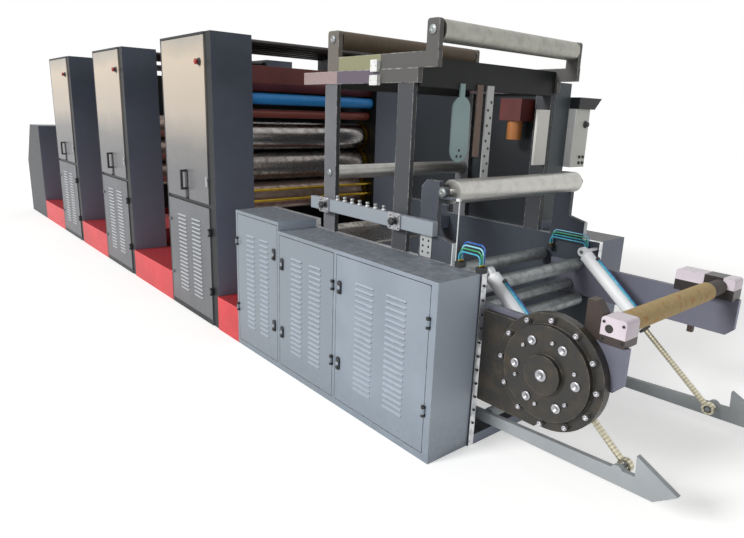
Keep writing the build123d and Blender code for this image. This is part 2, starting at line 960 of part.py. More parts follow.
def far_manifold_y():
    """Inner end of the blocks that sit on the drive side frame."""
    return inner_y - 2 * manifold_margin - hose_rows()[-1]


def air_hoses():
    near = hose_bank(near_manifolds, -inner_y - frame_plate, infeed_height + manifold_height)
    return near + hose_bank(far_manifolds, far_manifold_y(), far_manifold_z + manifold_height)


def hose_manifolds():
    near = manifold_pair(near_manifolds, -inner_y - frame_plate, infeed_height)
    return near + manifold_pair(far_manifolds, far_manifold_y(), far_manifold_z)


# Cross members, steps and delivery

def infeed_cross_members():
    """End sill and two beams that join the side frames of the infeed unit."""
    sill = block(-sill_depth, frame_end_reach, -inner_y, inner_y, 0, sill_height)
    high = infeed_height - web_beam_drop
    upper = block(-infeed_step_x - web_beam_depth / 2, -infeed_step_x + web_beam_depth / 2,
                  -inner_y, inner_y, high - web_beam_height, high)
    return [sill, foot_beam(-infeed_length + foot_beam_set), upper]


def step_between(near_x, far_x):
    """Folded sheet platform between two units, open underneath."""
    x0 = far_x + seat_gap
    x1 = near_x - seat_gap
    step = block(x0, x1, -outer_y, outer_y, 0, step_height)
    return step - block(x0 + step_sheet, x1 - step_sheet, -outer_y + step_sheet,
                        outer_y - step_sheet, 0, step_height - step_sheet)


def steps():
    ends = [-infeed_length] + [tower_end(i) - tower_length for i in range(tower_count)]
    starts = [tower_end(i) for i in range(tower_count)] + [delivery_end()]
    return [step_between(near, far) for near, far in zip(ends, starts)]


def delivery_housings():
    """Low side housings of the delivery unit, with the shelf step at their outer end."""
    end = delivery_end()
    shelf = end - delivery_length + delivery_shelf_depth
    points = [(end, 0), (end, delivery_height), (shelf, delivery_height),
              (end - delivery_length, delivery_shelf_height), (end - delivery_length, 0)]
    side = plate_y_from(points, -outer_y, -inner_y)
    return [side, other_side(side)]


def delivery_table():
    """Sloping table, foot beam and roller between the delivery housings."""
    end = delivery_end()
    near = end - table_set
    far = end - delivery_length
    high = delivery_height - table_drop
    points = [(near, high), (near, high + table_thick), (far, high + table_thick - table_fall),
              (far, high - table_fall)]
    table = plate_y_from(points, -inner_y, inner_y)
    roller = bar_y(end - table_roller_x, delivery_height - table_roller_drop, table_roller_radius,
                   -inner_y, inner_y)
    return [table, foot_beam(end - foot_beam_set - foot_beam_depth), roller]


# Unwind stand

def unwind_arm():
    """Side plate of the unwind stand on the operator side."""
    y0 = -inner_y
    y1 = -inner_y + arm_plate
    points = [(-arm_rear, arm_low), (arm_front - arm_chamfer, arm_low),
              (arm_front, arm_low + arm_chamfer), (arm_front, arm_high), (-arm_rear, arm_high)]
    arm = plate_y_from(points, y0, y1)
    for behind, z in guide_places:
        arm -= bar_y(-behind, z, journal_radius + guide_hole_clear, y0, y1)
    return arm


def unwind_arms():
    arm = unwind_arm()
    return [arm, other_side(arm)]


def core_bearing(rear):
    """Bearing block of the core shaft on the operator side, that reaches back as far as told."""
    y0 = -inner_y - bearing_out
    y1 = y0 + bearing_thick
    bearing = block(shaft_x - rear, shaft_x + bearing_front, y0, y1, arm_high, bearing_top)
    bearing = fillet(bearing.edges().filter_by(Axis.Y).group_by(Axis.Z)[-1], ear_corner)
    return bearing - bar_y(shaft_x, shaft_z, shaft_radius + journal_clear, y0, y1)


def core_bearings():
    return [core_bearing(bearing_rear), other_side(core_bearing(bearing_rear_drive))]


def core_brackets():
    """Stop behind the operator side bearing and feet under the unwind arms."""
    y0 = -inner_y
    x1 = shaft_x - bearing_rear
    points = [(x1, arm_high), (x1, bearing_top), (x1 - bracket_length / 2, bracket_top),
              (x1 - bracket_length, bracket_top), (x1 - bracket_length, arm_high)]
    stop = plate_y_from(points, y0, y0 + bracket_thick)
    foot = block(foot_x, foot_x + foot_width, -inner_y, -inner_y + arm_plate,
                 arm_low - foot_height, arm_low)
    return [stop, foot, other_side(foot)]


def roll_core():
    """Paper core on its shaft, with the chuck that holds it from the drive side."""
    end = inner_y + bearing_out
    chuck_end = end - bearing_thick - roller_end_gap / 2
    core = bar_y(shaft_x, shaft_z, core_radius, core_start, core_end)
    core += bar_y(shaft_x, shaft_z, chuck_radius, core_end, chuck_end)
    return core + bar_y(shaft_x, shaft_z, shaft_radius, -end, end)


def round_housing():
    """Stepped round housing with bolt bosses, on its bracket plate."""
    y1 = -inner_y
    y0 = y1 - disc_thick
    housing = block(bracket_plate_rear, bracket_plate_front, y1 - bracket_plate, y1,
                    bracket_plate_low, bracket_plate_high)
    housing += bar_y(disc_x, disc_z, disc_radius, y0, y1)
    housing += bar_y(disc_x, disc_z, disc_step_radius, y0 - disc_step, y0)
    housing += bar_y(disc_x, disc_z, disc_hub_radius, y0 - disc_step - disc_hub, y0 - disc_step)
    for number in range(boss_count):
        angle = 2 * math.pi * number / boss_count
        x = disc_x + boss_circle * math.cos(angle)
        z = disc_z + boss_circle * math.sin(angle)
        housing += bar_y(x, z, boss_radius, y0 - boss_height, y0)
    return housing


def lift_y():
    """Y range of the operator side lift arm."""
    y0 = -inner_y + arm_plate + lift_gap
    return y0, y0 + lift_plate


def ram_y():
    """Middle plane of the operator side lift cylinder."""
    return lift_y()[1] + ram_gap + barrel_radius


def on_arm(along, up):
    """Point of the lift arm, along its centre line from the root pin."""
    a = math.radians(lift_slope)
    return (lift_root_x + along * math.cos(a) - up * math.sin(a),
            lift_root_z + along * math.sin(a) + up * math.cos(a))


def lift_arm():
    """Tapered arm with its pointed hook, root boss and the pin of the lift cylinder."""
    y0, y1 = lift_y()
    local = [(0, -lift_sole_root), (hook_sole, -lift_sole_end), (hook_tip, 0),
             (hook_foot, hook_rise), (hook_foot, lift_top_rise), (0, lift_top_rise)]
    arm = plate_y_from([on_arm(u, v) for u, v in local], y0, y1)
    arm += bar_y(lift_root_x, lift_root_z, lift_boss_radius, y0, y1)
    arm -= bar_y(lift_root_x, lift_root_z, lift_pin_radius + journal_clear, y0, y1)
    ex, ez = on_arm(lift_eye_reach, 0)
    arm += bar_y(ex, ez, lift_eye_boss, y0, y1)
    arm += bar_y(ex, ez, ram_pin_radius, y1, ram_y() + ram_eye_width / 2 + pin_end)
    return arm


def lift_arms():
    """Both lift arms and the torsion tube that ties them together."""
    arm = lift_arm()
    y1 = lift_y()[1]
    tx, tz = on_arm(torsion_along, 0)
    tube = bar_y(tx, tz, torsion_radius, y1, -y1)
    return arm + other_side(arm) + tube


def lift_pins():
    """Root pins of the lift arms and top pins of the cylinders, fixed in the side frames."""
    root = bar_y(lift_root_x, lift_root_z, lift_pin_radius, -inner_y, lift_y()[1] + pin_end)
    top = bar_y(ram_top_x, ram_top_z, ram_pin_radius, -inner_y, ram_y() + ram_eye_width / 2 + pin_end)
    return [root, top, other_side(root), other_side(top)]


def ram_angle():
    ex, ez = on_arm(lift_eye_reach, 0)
    return math.degrees(math.atan2(ez - ram_top_z, ex - ram_top_x))


def ram_length():
    ex, ez = on_arm(lift_eye_reach, 0)
    return math.hypot(ez - ram_top_z, ex - ram_top_x)


def along_ram(piece):
    """Turns a piece made along +X from the top pin into place."""
    return Pos(ram_top_x, ram_y(), ram_top_z) * Rot(0, -ram_angle(), 0) * piece


def bar_x(radius, x0, x1):
    return Pos((x0 + x1) / 2, 0, 0) * Rot(0, 90, 0) * Cylinder(radius, abs(x1 - x0))


def lift_barrel():
    """Cylinder barrel with its top eye."""
    barrel = bar_x(barrel_radius, ram_eye_radius, barrel_length)
    barrel += block(0, ram_eye_radius, -ram_eye_width / 2, ram_eye_width / 2,
                    -ram_neck, ram_neck)
    barrel += bar_y(0, 0, ram_eye_radius, -ram_eye_width / 2, ram_eye_width / 2)
    barrel -= bar_y(0, 0, ram_pin_radius + journal_clear, -ram_eye_width / 2, ram_eye_width / 2)
    barrel -= bar_x(ram_rod_radius + gland_clear, barrel_bore_start, barrel_length + 1)
    return along_ram(barrel)


def lift_rod():
    """Chromed rod with an eye that hangs with clearance on the pin of the lift arm."""
    length = ram_length()
    rod = bar_x(ram_rod_radius, barrel_length - rod_inside, length - ram_eye_radius)
    rod += bar_y(length, 0, rod_eye_radius, -ram_eye_width / 2, ram_eye_width / 2)
    rod -= bar_y(length, 0, ram_pin_radius + open_clear, -ram_eye_width / 2, ram_eye_width / 2)
    return along_ram(rod)


def save(name, made):
    """Writes one sub-part, as one solid or as several that don't touch."""
    shape = Compound(children=list(made)) if isinstance(made, (list, tuple)) else made
    export_step(shape, os.path.join("parts", name + ".step"))


def save_infeed():
    save("infeed_side_frames", infeed_side_frames())
    save("infeed_cabinet_operator", infeed_cabinet_operator())
    save("infeed_cabinet_drive", infeed_cabinet_drive())
    save("infeed_cross_members", infeed_cross_members())
    for name, (low_x, high_x), (low_z, high_z), side in door_table():
        save(name, swing_door(low_x, high_x, low_z, high_z, side))
    save("door_hinges", door_hinges())
    save("steps", steps())


def save_towers():
    for index in range(tower_count):
        save("tower_%d_operator" % (index + 1), tower_operator(index))
    save("tower_housings_drive", tower_drives())
    save("tower_upper_doors", tower_upper_doors())
    save("door_handles", door_handles())
    save("tower_tie_bars", tower_tie_bars())
    save("tower_guards", tower_guards())
    for level, name in enumerate(("plate_cylinder", "blanket_cylinder", "impression_cylinder")):
        save(name, geared_cylinder(level))
    for name in ink_rollers:
        save(name, ink_roller(name))
    save("ink_duct", ink_duct())
    save("web_bars", web_bars())
    save("inner_cylinders", inner_cylinders())
    save("delivery_housings", delivery_housings())
    save("delivery_table", delivery_table())


def save_gantry():
    save("gantry_uprights", gantry_uprights())
    save("roller_stands", roller_stands())
    save("gantry_cross_beam", gantry_cross_beam())
    save("beam_plates", beam_plates())
    for name in web_rollers:
        save(name, web_roller(name))
    save("drive_housing", drive_housing())
    save("control_box", control_box())
    save("web_guide_motor", web_guide_motor())
    save("web_tray", web_tray())
    save("air_hoses", air_hoses())
    save("hose_manifolds", hose_manifolds())


def save_unwind():
    for number, (behind, z) in enumerate(guide_places, start=1):
        save("guide_roller_%d" % number, guide_roller(behind, z))
    save("unwind_arms", unwind_arms())
    save("core_bearings", core_bearings())
    save("core_brackets", core_brackets())
    save("roll_core", roll_core())
    save("round_housing", round_housing())
    save("lift_arms", lift_arms())
    save("lift_pins", lift_pins())
    save("lift_barrel_operator", lift_barrel())
    save("lift_barrel_drive", other_side(lift_barrel()))
    save("lift_rod_operator", lift_rod())
    save("lift_rod_drive", other_side(lift_rod()))


os.makedirs("parts", exist_ok=True)
save_infeed()
save_towers()
save_gantry()
save_unwind()
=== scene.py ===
import bmesh
import bpy
import json
import math
from mathutils import Matrix, Vector


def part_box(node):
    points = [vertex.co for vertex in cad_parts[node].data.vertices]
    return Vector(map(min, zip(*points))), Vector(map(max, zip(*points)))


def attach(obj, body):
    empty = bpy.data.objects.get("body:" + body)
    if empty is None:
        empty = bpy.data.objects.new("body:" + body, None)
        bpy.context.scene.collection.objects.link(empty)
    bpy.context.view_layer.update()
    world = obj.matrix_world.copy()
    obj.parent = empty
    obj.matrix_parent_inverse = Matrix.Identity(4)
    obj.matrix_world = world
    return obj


# Web printing press. Metres, X along the paper web towards the unwind stand, Y towards the
# drive side, Z up from the workshop floor.

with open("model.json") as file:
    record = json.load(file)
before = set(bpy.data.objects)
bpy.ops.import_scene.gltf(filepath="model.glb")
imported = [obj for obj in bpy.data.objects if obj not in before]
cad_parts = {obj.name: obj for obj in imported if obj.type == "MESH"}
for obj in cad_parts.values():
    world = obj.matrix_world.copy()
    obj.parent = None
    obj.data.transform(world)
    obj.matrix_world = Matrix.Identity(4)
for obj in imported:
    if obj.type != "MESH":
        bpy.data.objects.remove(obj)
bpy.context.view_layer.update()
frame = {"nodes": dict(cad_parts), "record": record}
print("frame loaded")


# Colours and nodes

def linear(hexColour):
    channels = [int(hexColour[i:i + 2], 16) / 255 for i in (1, 3, 5)]
    return [c / 12.92 if c <= 0.04045 else ((c + 0.055) / 1.055) ** 2.4 for c in channels] + [1.0]


def perMetre(millimetres):
    return 1000.0 / millimetres  # noise scale for a grain of this size


def waveScale(millimetres):
    return math.pi / 10 * perMetre(millimetres)  # wave texture scale for this line spacing


def setStops(ramp, stops):
    while len(ramp.elements) < len(stops):
        ramp.elements.new(1.0)
    for element, (position, tone) in zip(ramp.elements, stops):
        element.position = position
        element.color = linear(tone) if isinstance(tone, str) else [tone, tone, tone, 1.0]


# A key that starts with a small letter is a setting of the node itself, and any other is an input.
# A node or a socket given as value is linked, and a node stands for its first output.
def addNode(tree, kind, settings):
    node = tree.nodes.new("ShaderNode" + kind)
    for key, value in settings.items():
        if key == "stops":
            setStops(node.color_ramp, value)
        elif isinstance(key, str) and key[0].islower():
            setattr(node, key, value)
        elif isinstance(value, bpy.types.Node):
            tree.links.new(value.outputs[0], node.inputs[key])
        elif isinstance(value, bpy.types.NodeSocket):
            tree.links.new(value, node.inputs[key])
        else:
            node.inputs[key].default_value = linear(value) if isinstance(value, str) else value
    return node


def startMaterial(name):
    material = bpy.data.materials.new(name)
    material.use_nodes = True
    tree = material.node_tree
    tree.nodes.clear()
    return material, tree, addNode(tree, "TexCoord", {})


def finishMaterial(tree, settings):
    addNode(tree, "OutputMaterial", {"Surface": addNode(tree, "BsdfPrincipled", settings)})


# Edges for chipped paint and painted glints: a rounded normal that leaves the flat one shows where an edge is
def edgeMask(tree, radius, grain):
    rounded = addNode(tree, "Bevel", {"samples": 4, "Radius": radius})
    flat = addNode(tree, "NewGeometry", {})
    match = addNode(tree, "VectorMath", {"operation": "DOT_PRODUCT", 0: rounded, 1: flat.outputs["Normal"]})
    edge = addNode(tree, "MapRange", {"From Min": 0.995, "From Max": 0.90, "Value": match.outputs["Value"]})
    return addNode(tree, "Math", {"operation": "MULTIPLY", "use_clamp": True, 0: edge, 1: grain}), rounded


# Part of an object that lies between limits on some of its axes, in metres of the shared frame
def zoneMask(tree, axes, limits):
    share = 1.0
    for axis, low, high in limits:
        inside = addNode(tree, "Math", {"operation": "COMPARE", 0: axes.outputs[axis], 1: (low + high) / 2,
                                        2: (high - low) / 2})
        share = addNode(tree, "Math", {"operation": "MULTIPLY", 0: inside, 1: share})
    return share


def colourZones(tree, tone, axes, zones):
    for limits, colour in zones:
        tone = addNode(tree, "MixRGB", {0: zoneMask(tree, axes, limits), 1: tone, 2: colour})
    return tone


# Last layers of a coat: chipped paint at the edges, where a pale colour is partly a painted highlight,
# a gloss that grime breaks up and a faint relief
def wornCoat(tree, tone, grime, relief, look):
    chipsAndGlints = addNode(tree, "MapRange", {"From Min": look["chipsAndGlints"][0], "From Max": look["chipsAndGlints"][1],
                                       "To Max": look["wearAndGlint"], "Value": grime})
    edge, rounded = edgeMask(tree, look["edge"], chipsAndGlints)
    tone = addNode(tree, "MixRGB", {0: edge, 1: tone, 2: look["chipAndGlint"]})
    gloss = addNode(tree, "MapRange", {"To Min": look["gloss"][0], "To Max": look["gloss"][1],
                                       "Value": grime})
    skin = addNode(tree, "Bump", {"Strength": look["relief"][0], "Distance": look["relief"][1],
                                  "Height": relief, "Normal": rounded})
    finishMaterial(tree, {"IOR": 1.5, "Specular IOR Level": look["shine"], "Base Color": tone,
                          "Roughness": gloss, "Normal": skin})


# Machine paint, sprayed and baked on folded steel sheet: satin with a faint orange peel, dust
# that settles on level faces, scuffs near the floor and paint chipped off at the edges, where a pale
# colour is partly a painted highlight. The sloped hoods of the louvres face the light and get a paler
# colour, a painted highlight that reads as short bright dashes. The peel of the real paint is about
# 2 mm, too fine to show, and is drawn three times as coarse.
paintCoat = {"patches": 350, "grime": 40, "peel": 6,  # sizes in millimetres
             "chipsAndGlints": (0.42, 0.62), "edge": 0.004, "relief": (0.06, 0.001), "shine": 0.5}
paintLooks = {
    # Cover paint: the pale colour of its chipped edges is partly a painted highlight
    "cover_paint": {"base": "#929CA8", "patch": "#85909C", "chipAndGlint": "#E2E8F0", "dust": "#66686D",
                    # The paler colour of the sloped louvre hoods is a painted highlight
                    "scuff": "#6E7780", "gloss": (0.36, 0.56), "wearAndGlint": 0.75, "slopeHighlight": "#9FAAB6",
                    # A paler colour on the faces towards the stand, a painted light
                    "facing": "#AFBAC7",
                    # The fronts of doors 1 and 2 are painted darker, a painted shade
                    "zones": [([("X", -2.08, -0.84), ("Y", -1.00, -0.9755)], "#868F98")]},
    # Tower paint: the paler colour of the sloped louvre hoods is a painted highlight
    "tower_paint": {"base": "#6B6D71", "patch": "#5F6165", "chipAndGlint": "#4E5256", "dust": "#66645F",
                    "scuff": "#58595A", "gloss": (0.34, 0.54), "wearAndGlint": 0.7, "slopeHighlight": "#B4B8BB"},
    # Gantry paint: the broad pale colour of its chipped edges is partly a painted highlight along the edges
    "gantry_paint": {"base": "#76777B", "patch": "#66676C", "chipAndGlint": "#D8D6D2", "dust": "#6C6762",
                     "scuff": "#6A6866", "gloss": (0.39, 0.59), "wearAndGlint": 1.0, "shine": 0.3, "edge": 0.008,
                     # A dark colour on the faces towards the stand, a painted shade
                     "facing": "#34373A",
                     "zones": [([("Z", 0.90, 1.929), ("X", -1.00, -0.578)], "#47494D"),
                               ([("Z", 1.929, 2.30), ("X", -0.86, -0.30)], "#5A5957"),
                               ([("Z", 2.005, 2.30), ("X", -1.26, -0.86)], "#8F8E70"),
                               ([("Z", 2.005, 2.30), ("X", -1.66, -1.26)], "#6F6A62"),
                               ([("Z", 1.929, 2.003), ("X", -1.27, -0.86)], "#655C68"),
                               ([("Z", 1.929, 2.003), ("X", -1.66, -1.27)], "#A08C8A")]},
    "black_paint": {"base": "#18191B", "patch": "#131415", "chipAndGlint": "#6A6A6C", "dust": "#4A4745",
                    "scuff": "#39393A", "gloss": (0.39, 0.59), "wearAndGlint": 0.5, "shine": 0.25},
    # Lilac paint: a paler colour on the faces towards the stand, a painted light
    "lilac_paint": {"base": "#70717F", "patch": "#636472", "chipAndGlint": "#A9ABB6", "dust": "#77767C",
                    "scuff": "#75757D", "gloss": (0.36, 0.56), "wearAndGlint": 0.8, "facing": "#8487A0"},
    "arm_grey": {"base": "#ABB0B3", "patch": "#999FA2", "chipAndGlint": "#DCE0E2", "dust": "#85888A",
                 "scuff": "#8A8F92", "gloss": (0.34, 0.54), "wearAndGlint": 0.7},
    "stand_paint": {"base": "#4A4E57", "patch": "#3D414A", "chipAndGlint": "#B9BBC0", "dust": "#55544F",
                    "scuff": "#4C4D50", "gloss": (0.36, 0.56), "wearAndGlint": 0.9, "shine": 0.3, "edge": 0.006,
                    "zones": [([("X", -0.216, -0.178)], "#E2E6E6"), ([("Y", -0.72, -0.6625)], "#969EA6")]},
    "bearing_enamel": {"base": "#E4D8E0", "patch": "#CBBEC8", "chipAndGlint": "#6B5A60", "dust": "#DAD2D6",
                       "scuff": "#B8A8B0", "gloss": (0.26, 0.46), "wearAndGlint": 0.8,
                       "zones": [([("Y", -0.70, -0.50), ("Z", 0.80, 0.862)], "#3A2F2C"),
                                 ([("Y", 0.50, 0.70), ("Z", 0.80, 0.886)], "#353130"),
                                 ([("Y", 0.50, 0.70), ("X", 0.615, 0.715)], "#353130")]},
    "rusted_black": {"base": "#3C2E28", "patch": "#2A211D", "chipAndGlint": "#7C6C60", "dust": "#4E4037",
                     "scuff": "#3E332D", "gloss": (0.44, 0.64), "wearAndGlint": 0.6},
    "red_paint": {"base": "#DC353C", "patch": "#CB2E35", "chipAndGlint": "#6A2A2C", "dust": "#8E3A3C",
                  "scuff": "#B23034", "gloss": (0.32, 0.52), "wearAndGlint": 0.7},
    "box_enamel": {"base": "#CFD0C8", "patch": "#C3C4BB", "chipAndGlint": "#7C7C78", "dust": "#3A3A3C",
                   "scuff": "#B0B0A8", "gloss": (0.29, 0.49), "wearAndGlint": 0.4,
                   # A white strip on the operator face of the box, which lies in shadow, a painted light
                   "zones": [([("Y", 0.850, 0.8640)], "#FFFFFF")]},
    "white_cylinder": {"base": "#FFFFFF", "patch": "#F0F4F8", "chipAndGlint": "#9AA6B4", "dust": "#C9D6E0",
                       "scuff": "#C4C4C8", "gloss": (0.24, 0.44), "wearAndGlint": 0.6},
    "pale_plate": {"base": "#9DB4B4", "patch": "#8CA5A8", "chipAndGlint": "#D8E4E4", "dust": "#7E8A88",
                   "scuff": "#8A9896", "gloss": (0.39, 0.59), "wearAndGlint": 0.6,
                   "zones": [([("Y", -0.170, -0.100)], "#6A5348"), ([("Y", -0.080, 0.0)], "#C4C6C5")]},
    "maroon_paint": {"base": "#6B2F2B", "patch": "#542522", "chipAndGlint": "#A8837A", "dust": "#6A4B45",
                     "scuff": "#5A3733", "gloss": (0.29, 0.49), "wearAndGlint": 0.6,
                     "zones": [([("X", -0.92, -0.70), ("Z", 1.60, 1.739)], "#B0703A"),
                               ([("X", -0.597, -0.573)], "#E6E4DE")]},
    "pale_enamel": {"base": "#C4C6C6", "patch": "#A9ACAC", "chipAndGlint": "#6B5A60", "dust": "#D0C4C8",
                    "scuff": "#B8A8B0", "gloss": (0.26, 0.46), "wearAndGlint": 0.7},
}


def sprayedPaint(name, look):
    look = {**paintCoat, **look}
    material, tree, place = startMaterial(name)
    spot = place.outputs["Object"]
    patches = addNode(tree, "TexNoise", {"Scale": perMetre(look["patches"]), "Detail": 3.0, "Vector": spot})
    grime = addNode(tree, "TexNoise", {"Scale": perMetre(look["grime"]), "Detail": 6.0, "Roughness": 0.65,
                                       "Vector": spot})
    peel = addNode(tree, "TexNoise", {"Scale": perMetre(look["peel"]), "Detail": 2.0, "Vector": spot})
    tone = addNode(tree, "ValToRGB", {"stops": [(0.35, look["base"]), (0.68, look["patch"])],
                                      "Fac": patches})

    axes = addNode(tree, "SeparateXYZ", {"Vector": place.outputs["Normal"]})
    level = addNode(tree, "MapRange", {"From Min": 0.5, "From Max": 0.95, "To Max": 0.85,
                                       "Value": axes.outputs["Z"]})
    dusty = addNode(tree, "MapRange", {"From Min": 0.25, "From Max": 0.6, "Value": grime})
    settled = addNode(tree, "Math", {"operation": "MULTIPLY", "use_clamp": True, 0: level, 1: dusty})
    tone = addNode(tree, "MixRGB", {0: settled, 1: tone, 2: look["dust"]})

    height = addNode(tree, "SeparateXYZ", {"Vector": spot})
    # Faces towards the stand get a colour of their own, which some looks use for a painted light and the
    # gantry for a painted shade
    if "facing" in look:
        front = addNode(tree, "Math", {"operation": "GREATER_THAN", 0: axes.outputs["X"], 1: 0.8})
        tone = addNode(tree, "MixRGB", {0: front, 1: tone, 2: look["facing"]})
    tone = colourZones(tree, tone, height, look.get("zones", []))
    # Sloped louvre hoods get a paler colour, a painted highlight
    if "slopeHighlight" in look:
        hoodHighlight = addNode(tree, "Math", {"operation": "COMPARE", 0: axes.outputs["Z"], 1: 0.48, 2: 0.16})
        tone = addNode(tree, "MixRGB", {0: hoodHighlight, 1: tone, 2: look["slopeHighlight"]})
    low = addNode(tree, "MapRange", {"From Min": 0.28, "From Max": 0.0, "Value": height.outputs["Z"]})
    smear = addNode(tree, "Math", {"operation": "MULTIPLY", "use_clamp": True, 0: low, 1: grime})
    tone = addNode(tree, "MixRGB", {0: smear, 1: tone, 2: look["scuff"]})

    wornCoat(tree, tone, grime, peel, look)
    return material


# Sprayed slate machine paint of the housings, paler towards the floor on the ends. The narrow
# pillar beside each door is black, and the covers on the drive side have the grey of the doors.
slateLook = {"end": "#555C69", "endDark": "#454B57", "low": "#8A90A2", "pillar": "#15181B",
             "drive": "#94959A", "chipAndGlint": "#8A9098", "dust": "#4C4B4D", "patches": 500, "grime": 35,
             "chipsAndGlints": (0.35, 0.6), "wearAndGlint": 0.8, "edge": 0.005, "gloss": (0.31, 0.51), "shine": 0.3,
             "zones": [([("X", -0.580, -0.570), ("Y", 0.65, 0.8605), ("Z", 1.05, 2.02)], "#464E52"),
                       ([("X", -0.75, -0.40), ("Y", 0.8605, 1.20), ("Z", 1.80, 1.95)], "#222326")]}
dullSlate = {**slateLook, "pillar": "#2B2F33"}


def slatePaint(name, look):
    look = {**paintCoat, **look}
    material, tree, place = startMaterial(name)
    spot = place.outputs["Object"]
    patches = addNode(tree, "TexNoise", {"Scale": perMetre(look["patches"]), "Detail": 4.0, "Vector": spot})
    grime = addNode(tree, "TexNoise", {"Scale": perMetre(look["grime"]), "Detail": 6.0, "Roughness": 0.7,
                                       "Vector": spot})
    peel = addNode(tree, "TexNoise", {"Scale": perMetre(look["peel"]), "Detail": 2.0, "Vector": spot})
    tone = addNode(tree, "ValToRGB", {"stops": [(0.35, look["end"]), (0.7, look["endDark"])],
                                      "Fac": patches})
    axes = addNode(tree, "SeparateXYZ", {"Vector": place.outputs["Normal"]})
    operatorFace = addNode(tree, "Math", {"operation": "LESS_THAN", 0: axes.outputs["Y"], 1: -0.8})
    driveFace = addNode(tree, "Math", {"operation": "GREATER_THAN", 0: axes.outputs["Y"], 1: 0.8})
    tone = addNode(tree, "MixRGB", {0: operatorFace, 1: tone, 2: look["pillar"]})
    tone = addNode(tree, "MixRGB", {0: driveFace, 1: tone, 2: look["drive"]})
    height = addNode(tree, "SeparateXYZ", {"Vector": spot})
    towardsFloor = addNode(tree, "MapRange", {"From Min": 2.0, "From Max": 0.2, "To Max": 0.9,
                                       "Value": height.outputs["Z"]})
    facing = addNode(tree, "Math", {"operation": "MAXIMUM", 0: axes.outputs["X"], 1: 0.0})
    mixShare = addNode(tree, "Math", {"operation": "MULTIPLY", 0: towardsFloor, 1: facing})
    tone = addNode(tree, "MixRGB", {0: mixShare, 1: tone, 2: look["low"]})
    tone = colourZones(tree, tone, height, look["zones"])
    level = addNode(tree, "MapRange", {"From Min": 0.6, "From Max": 0.95, "To Max": 0.8,
                                       "Value": axes.outputs["Z"]})
    tone = addNode(tree, "MixRGB", {0: level, 1: tone, 2: look["dust"]})
    wornCoat(tree, tone, grime, peel, look)
    return material


# Sprayed gloss enamel of the upper covers: warm and pale above, fading to cool grey at the handle, a painted
# reflection
upperLook = {"paintedReflectionTones": [(0.0, "#67676C"), (0.16, "#67676B"), (0.34, "#7A7876"), (0.54, "#B8AC9E"),
                       (0.86, "#CDBDA8"), (1.0, "#A39E95")], "low": 0.985, "high": 2.3,
             "chipAndGlint": "#6C6A66", "cloud": "#B9AFA3", "chipsAndGlints": (0.45, 0.65), "wearAndGlint": 0.6,
             "gloss": (0.24, 0.42), "relief": (0.05, 0.002)}


def glossEnamel(name, look):
    material, tree, place = startMaterial(name)
    spot = place.outputs["Object"]
    cloud = addNode(tree, "TexNoise", {"Scale": perMetre(260), "Detail": 4.0, "Vector": spot})
    speck = addNode(tree, "TexNoise", {"Scale": perMetre(22), "Detail": 6.0, "Roughness": 0.7,
                                       "Vector": spot})
    axes = addNode(tree, "SeparateXYZ", {"Vector": spot})
    drift = addNode(tree, "Math", {"operation": "MULTIPLY_ADD", 0: cloud, 1: 0.16, 2: -0.08})
    height = addNode(tree, "Math", {"operation": "ADD", 0: axes.outputs["Z"], 1: drift})
    # Colour by height, a painted reflection: warm and pale above, cool grey below
    share = addNode(tree, "MapRange", {"From Min": look["low"], "From Max": look["high"], "Value": height})
    tone = addNode(tree, "ValToRGB", {"stops": look["paintedReflectionTones"], "Fac": share})
    haze = addNode(tree, "MapRange", {"From Min": 0.5, "From Max": 0.8, "To Max": 0.25, "Value": speck})
    tone = addNode(tree, "MixRGB", {0: haze, 1: tone, 2: look["cloud"]})
    wornCoat(tree, tone, speck, cloud, {**paintCoat, **look})
    return material


# Bare metals, worked on a lathe or a mill: fine lines round or along the piece catch the light.
# Real tool marks are under 1 mm apart and wouldn't show, so they are drawn 5 mm apart or more.
metalLooks = {
    "machined_steel": {"base": "#B4B4B8", "stain": "#77787C", "roughness": 0.34, "line": 5.0,
                       "stains": 0.55},
    "turned_aluminium": {"base": "#BFBEB9", "stain": "#92918D", "roughness": 0.34, "line": 7.0,
                         "stains": 0.4},
    "aged_aluminium": {"base": "#A3A29A", "stain": "#7C7B75", "roughness": 0.40, "line": 7.0,
                       "stains": 0.5},
    "worn_aluminium": {"base": "#9A9E9F", "stain": "#5A5C5C", "roughness": 0.50, "line": 7.0,
                       "stains": 0.7},
    "sheet_zinc": {"base": "#A09B94", "stain": "#4E4A46", "roughness": 0.26, "line": 40.0, "stains": 0.8},
    "yellow_brass": {"base": "#C9A83E", "stain": "#6E5A22", "roughness": 0.32, "line": 8.0, "stains": 0.6},
    "blackened_steel": {"base": "#4A4846", "stain": "#2A2928", "roughness": 0.30, "line": 8.0,
                        "stains": 0.6},
}


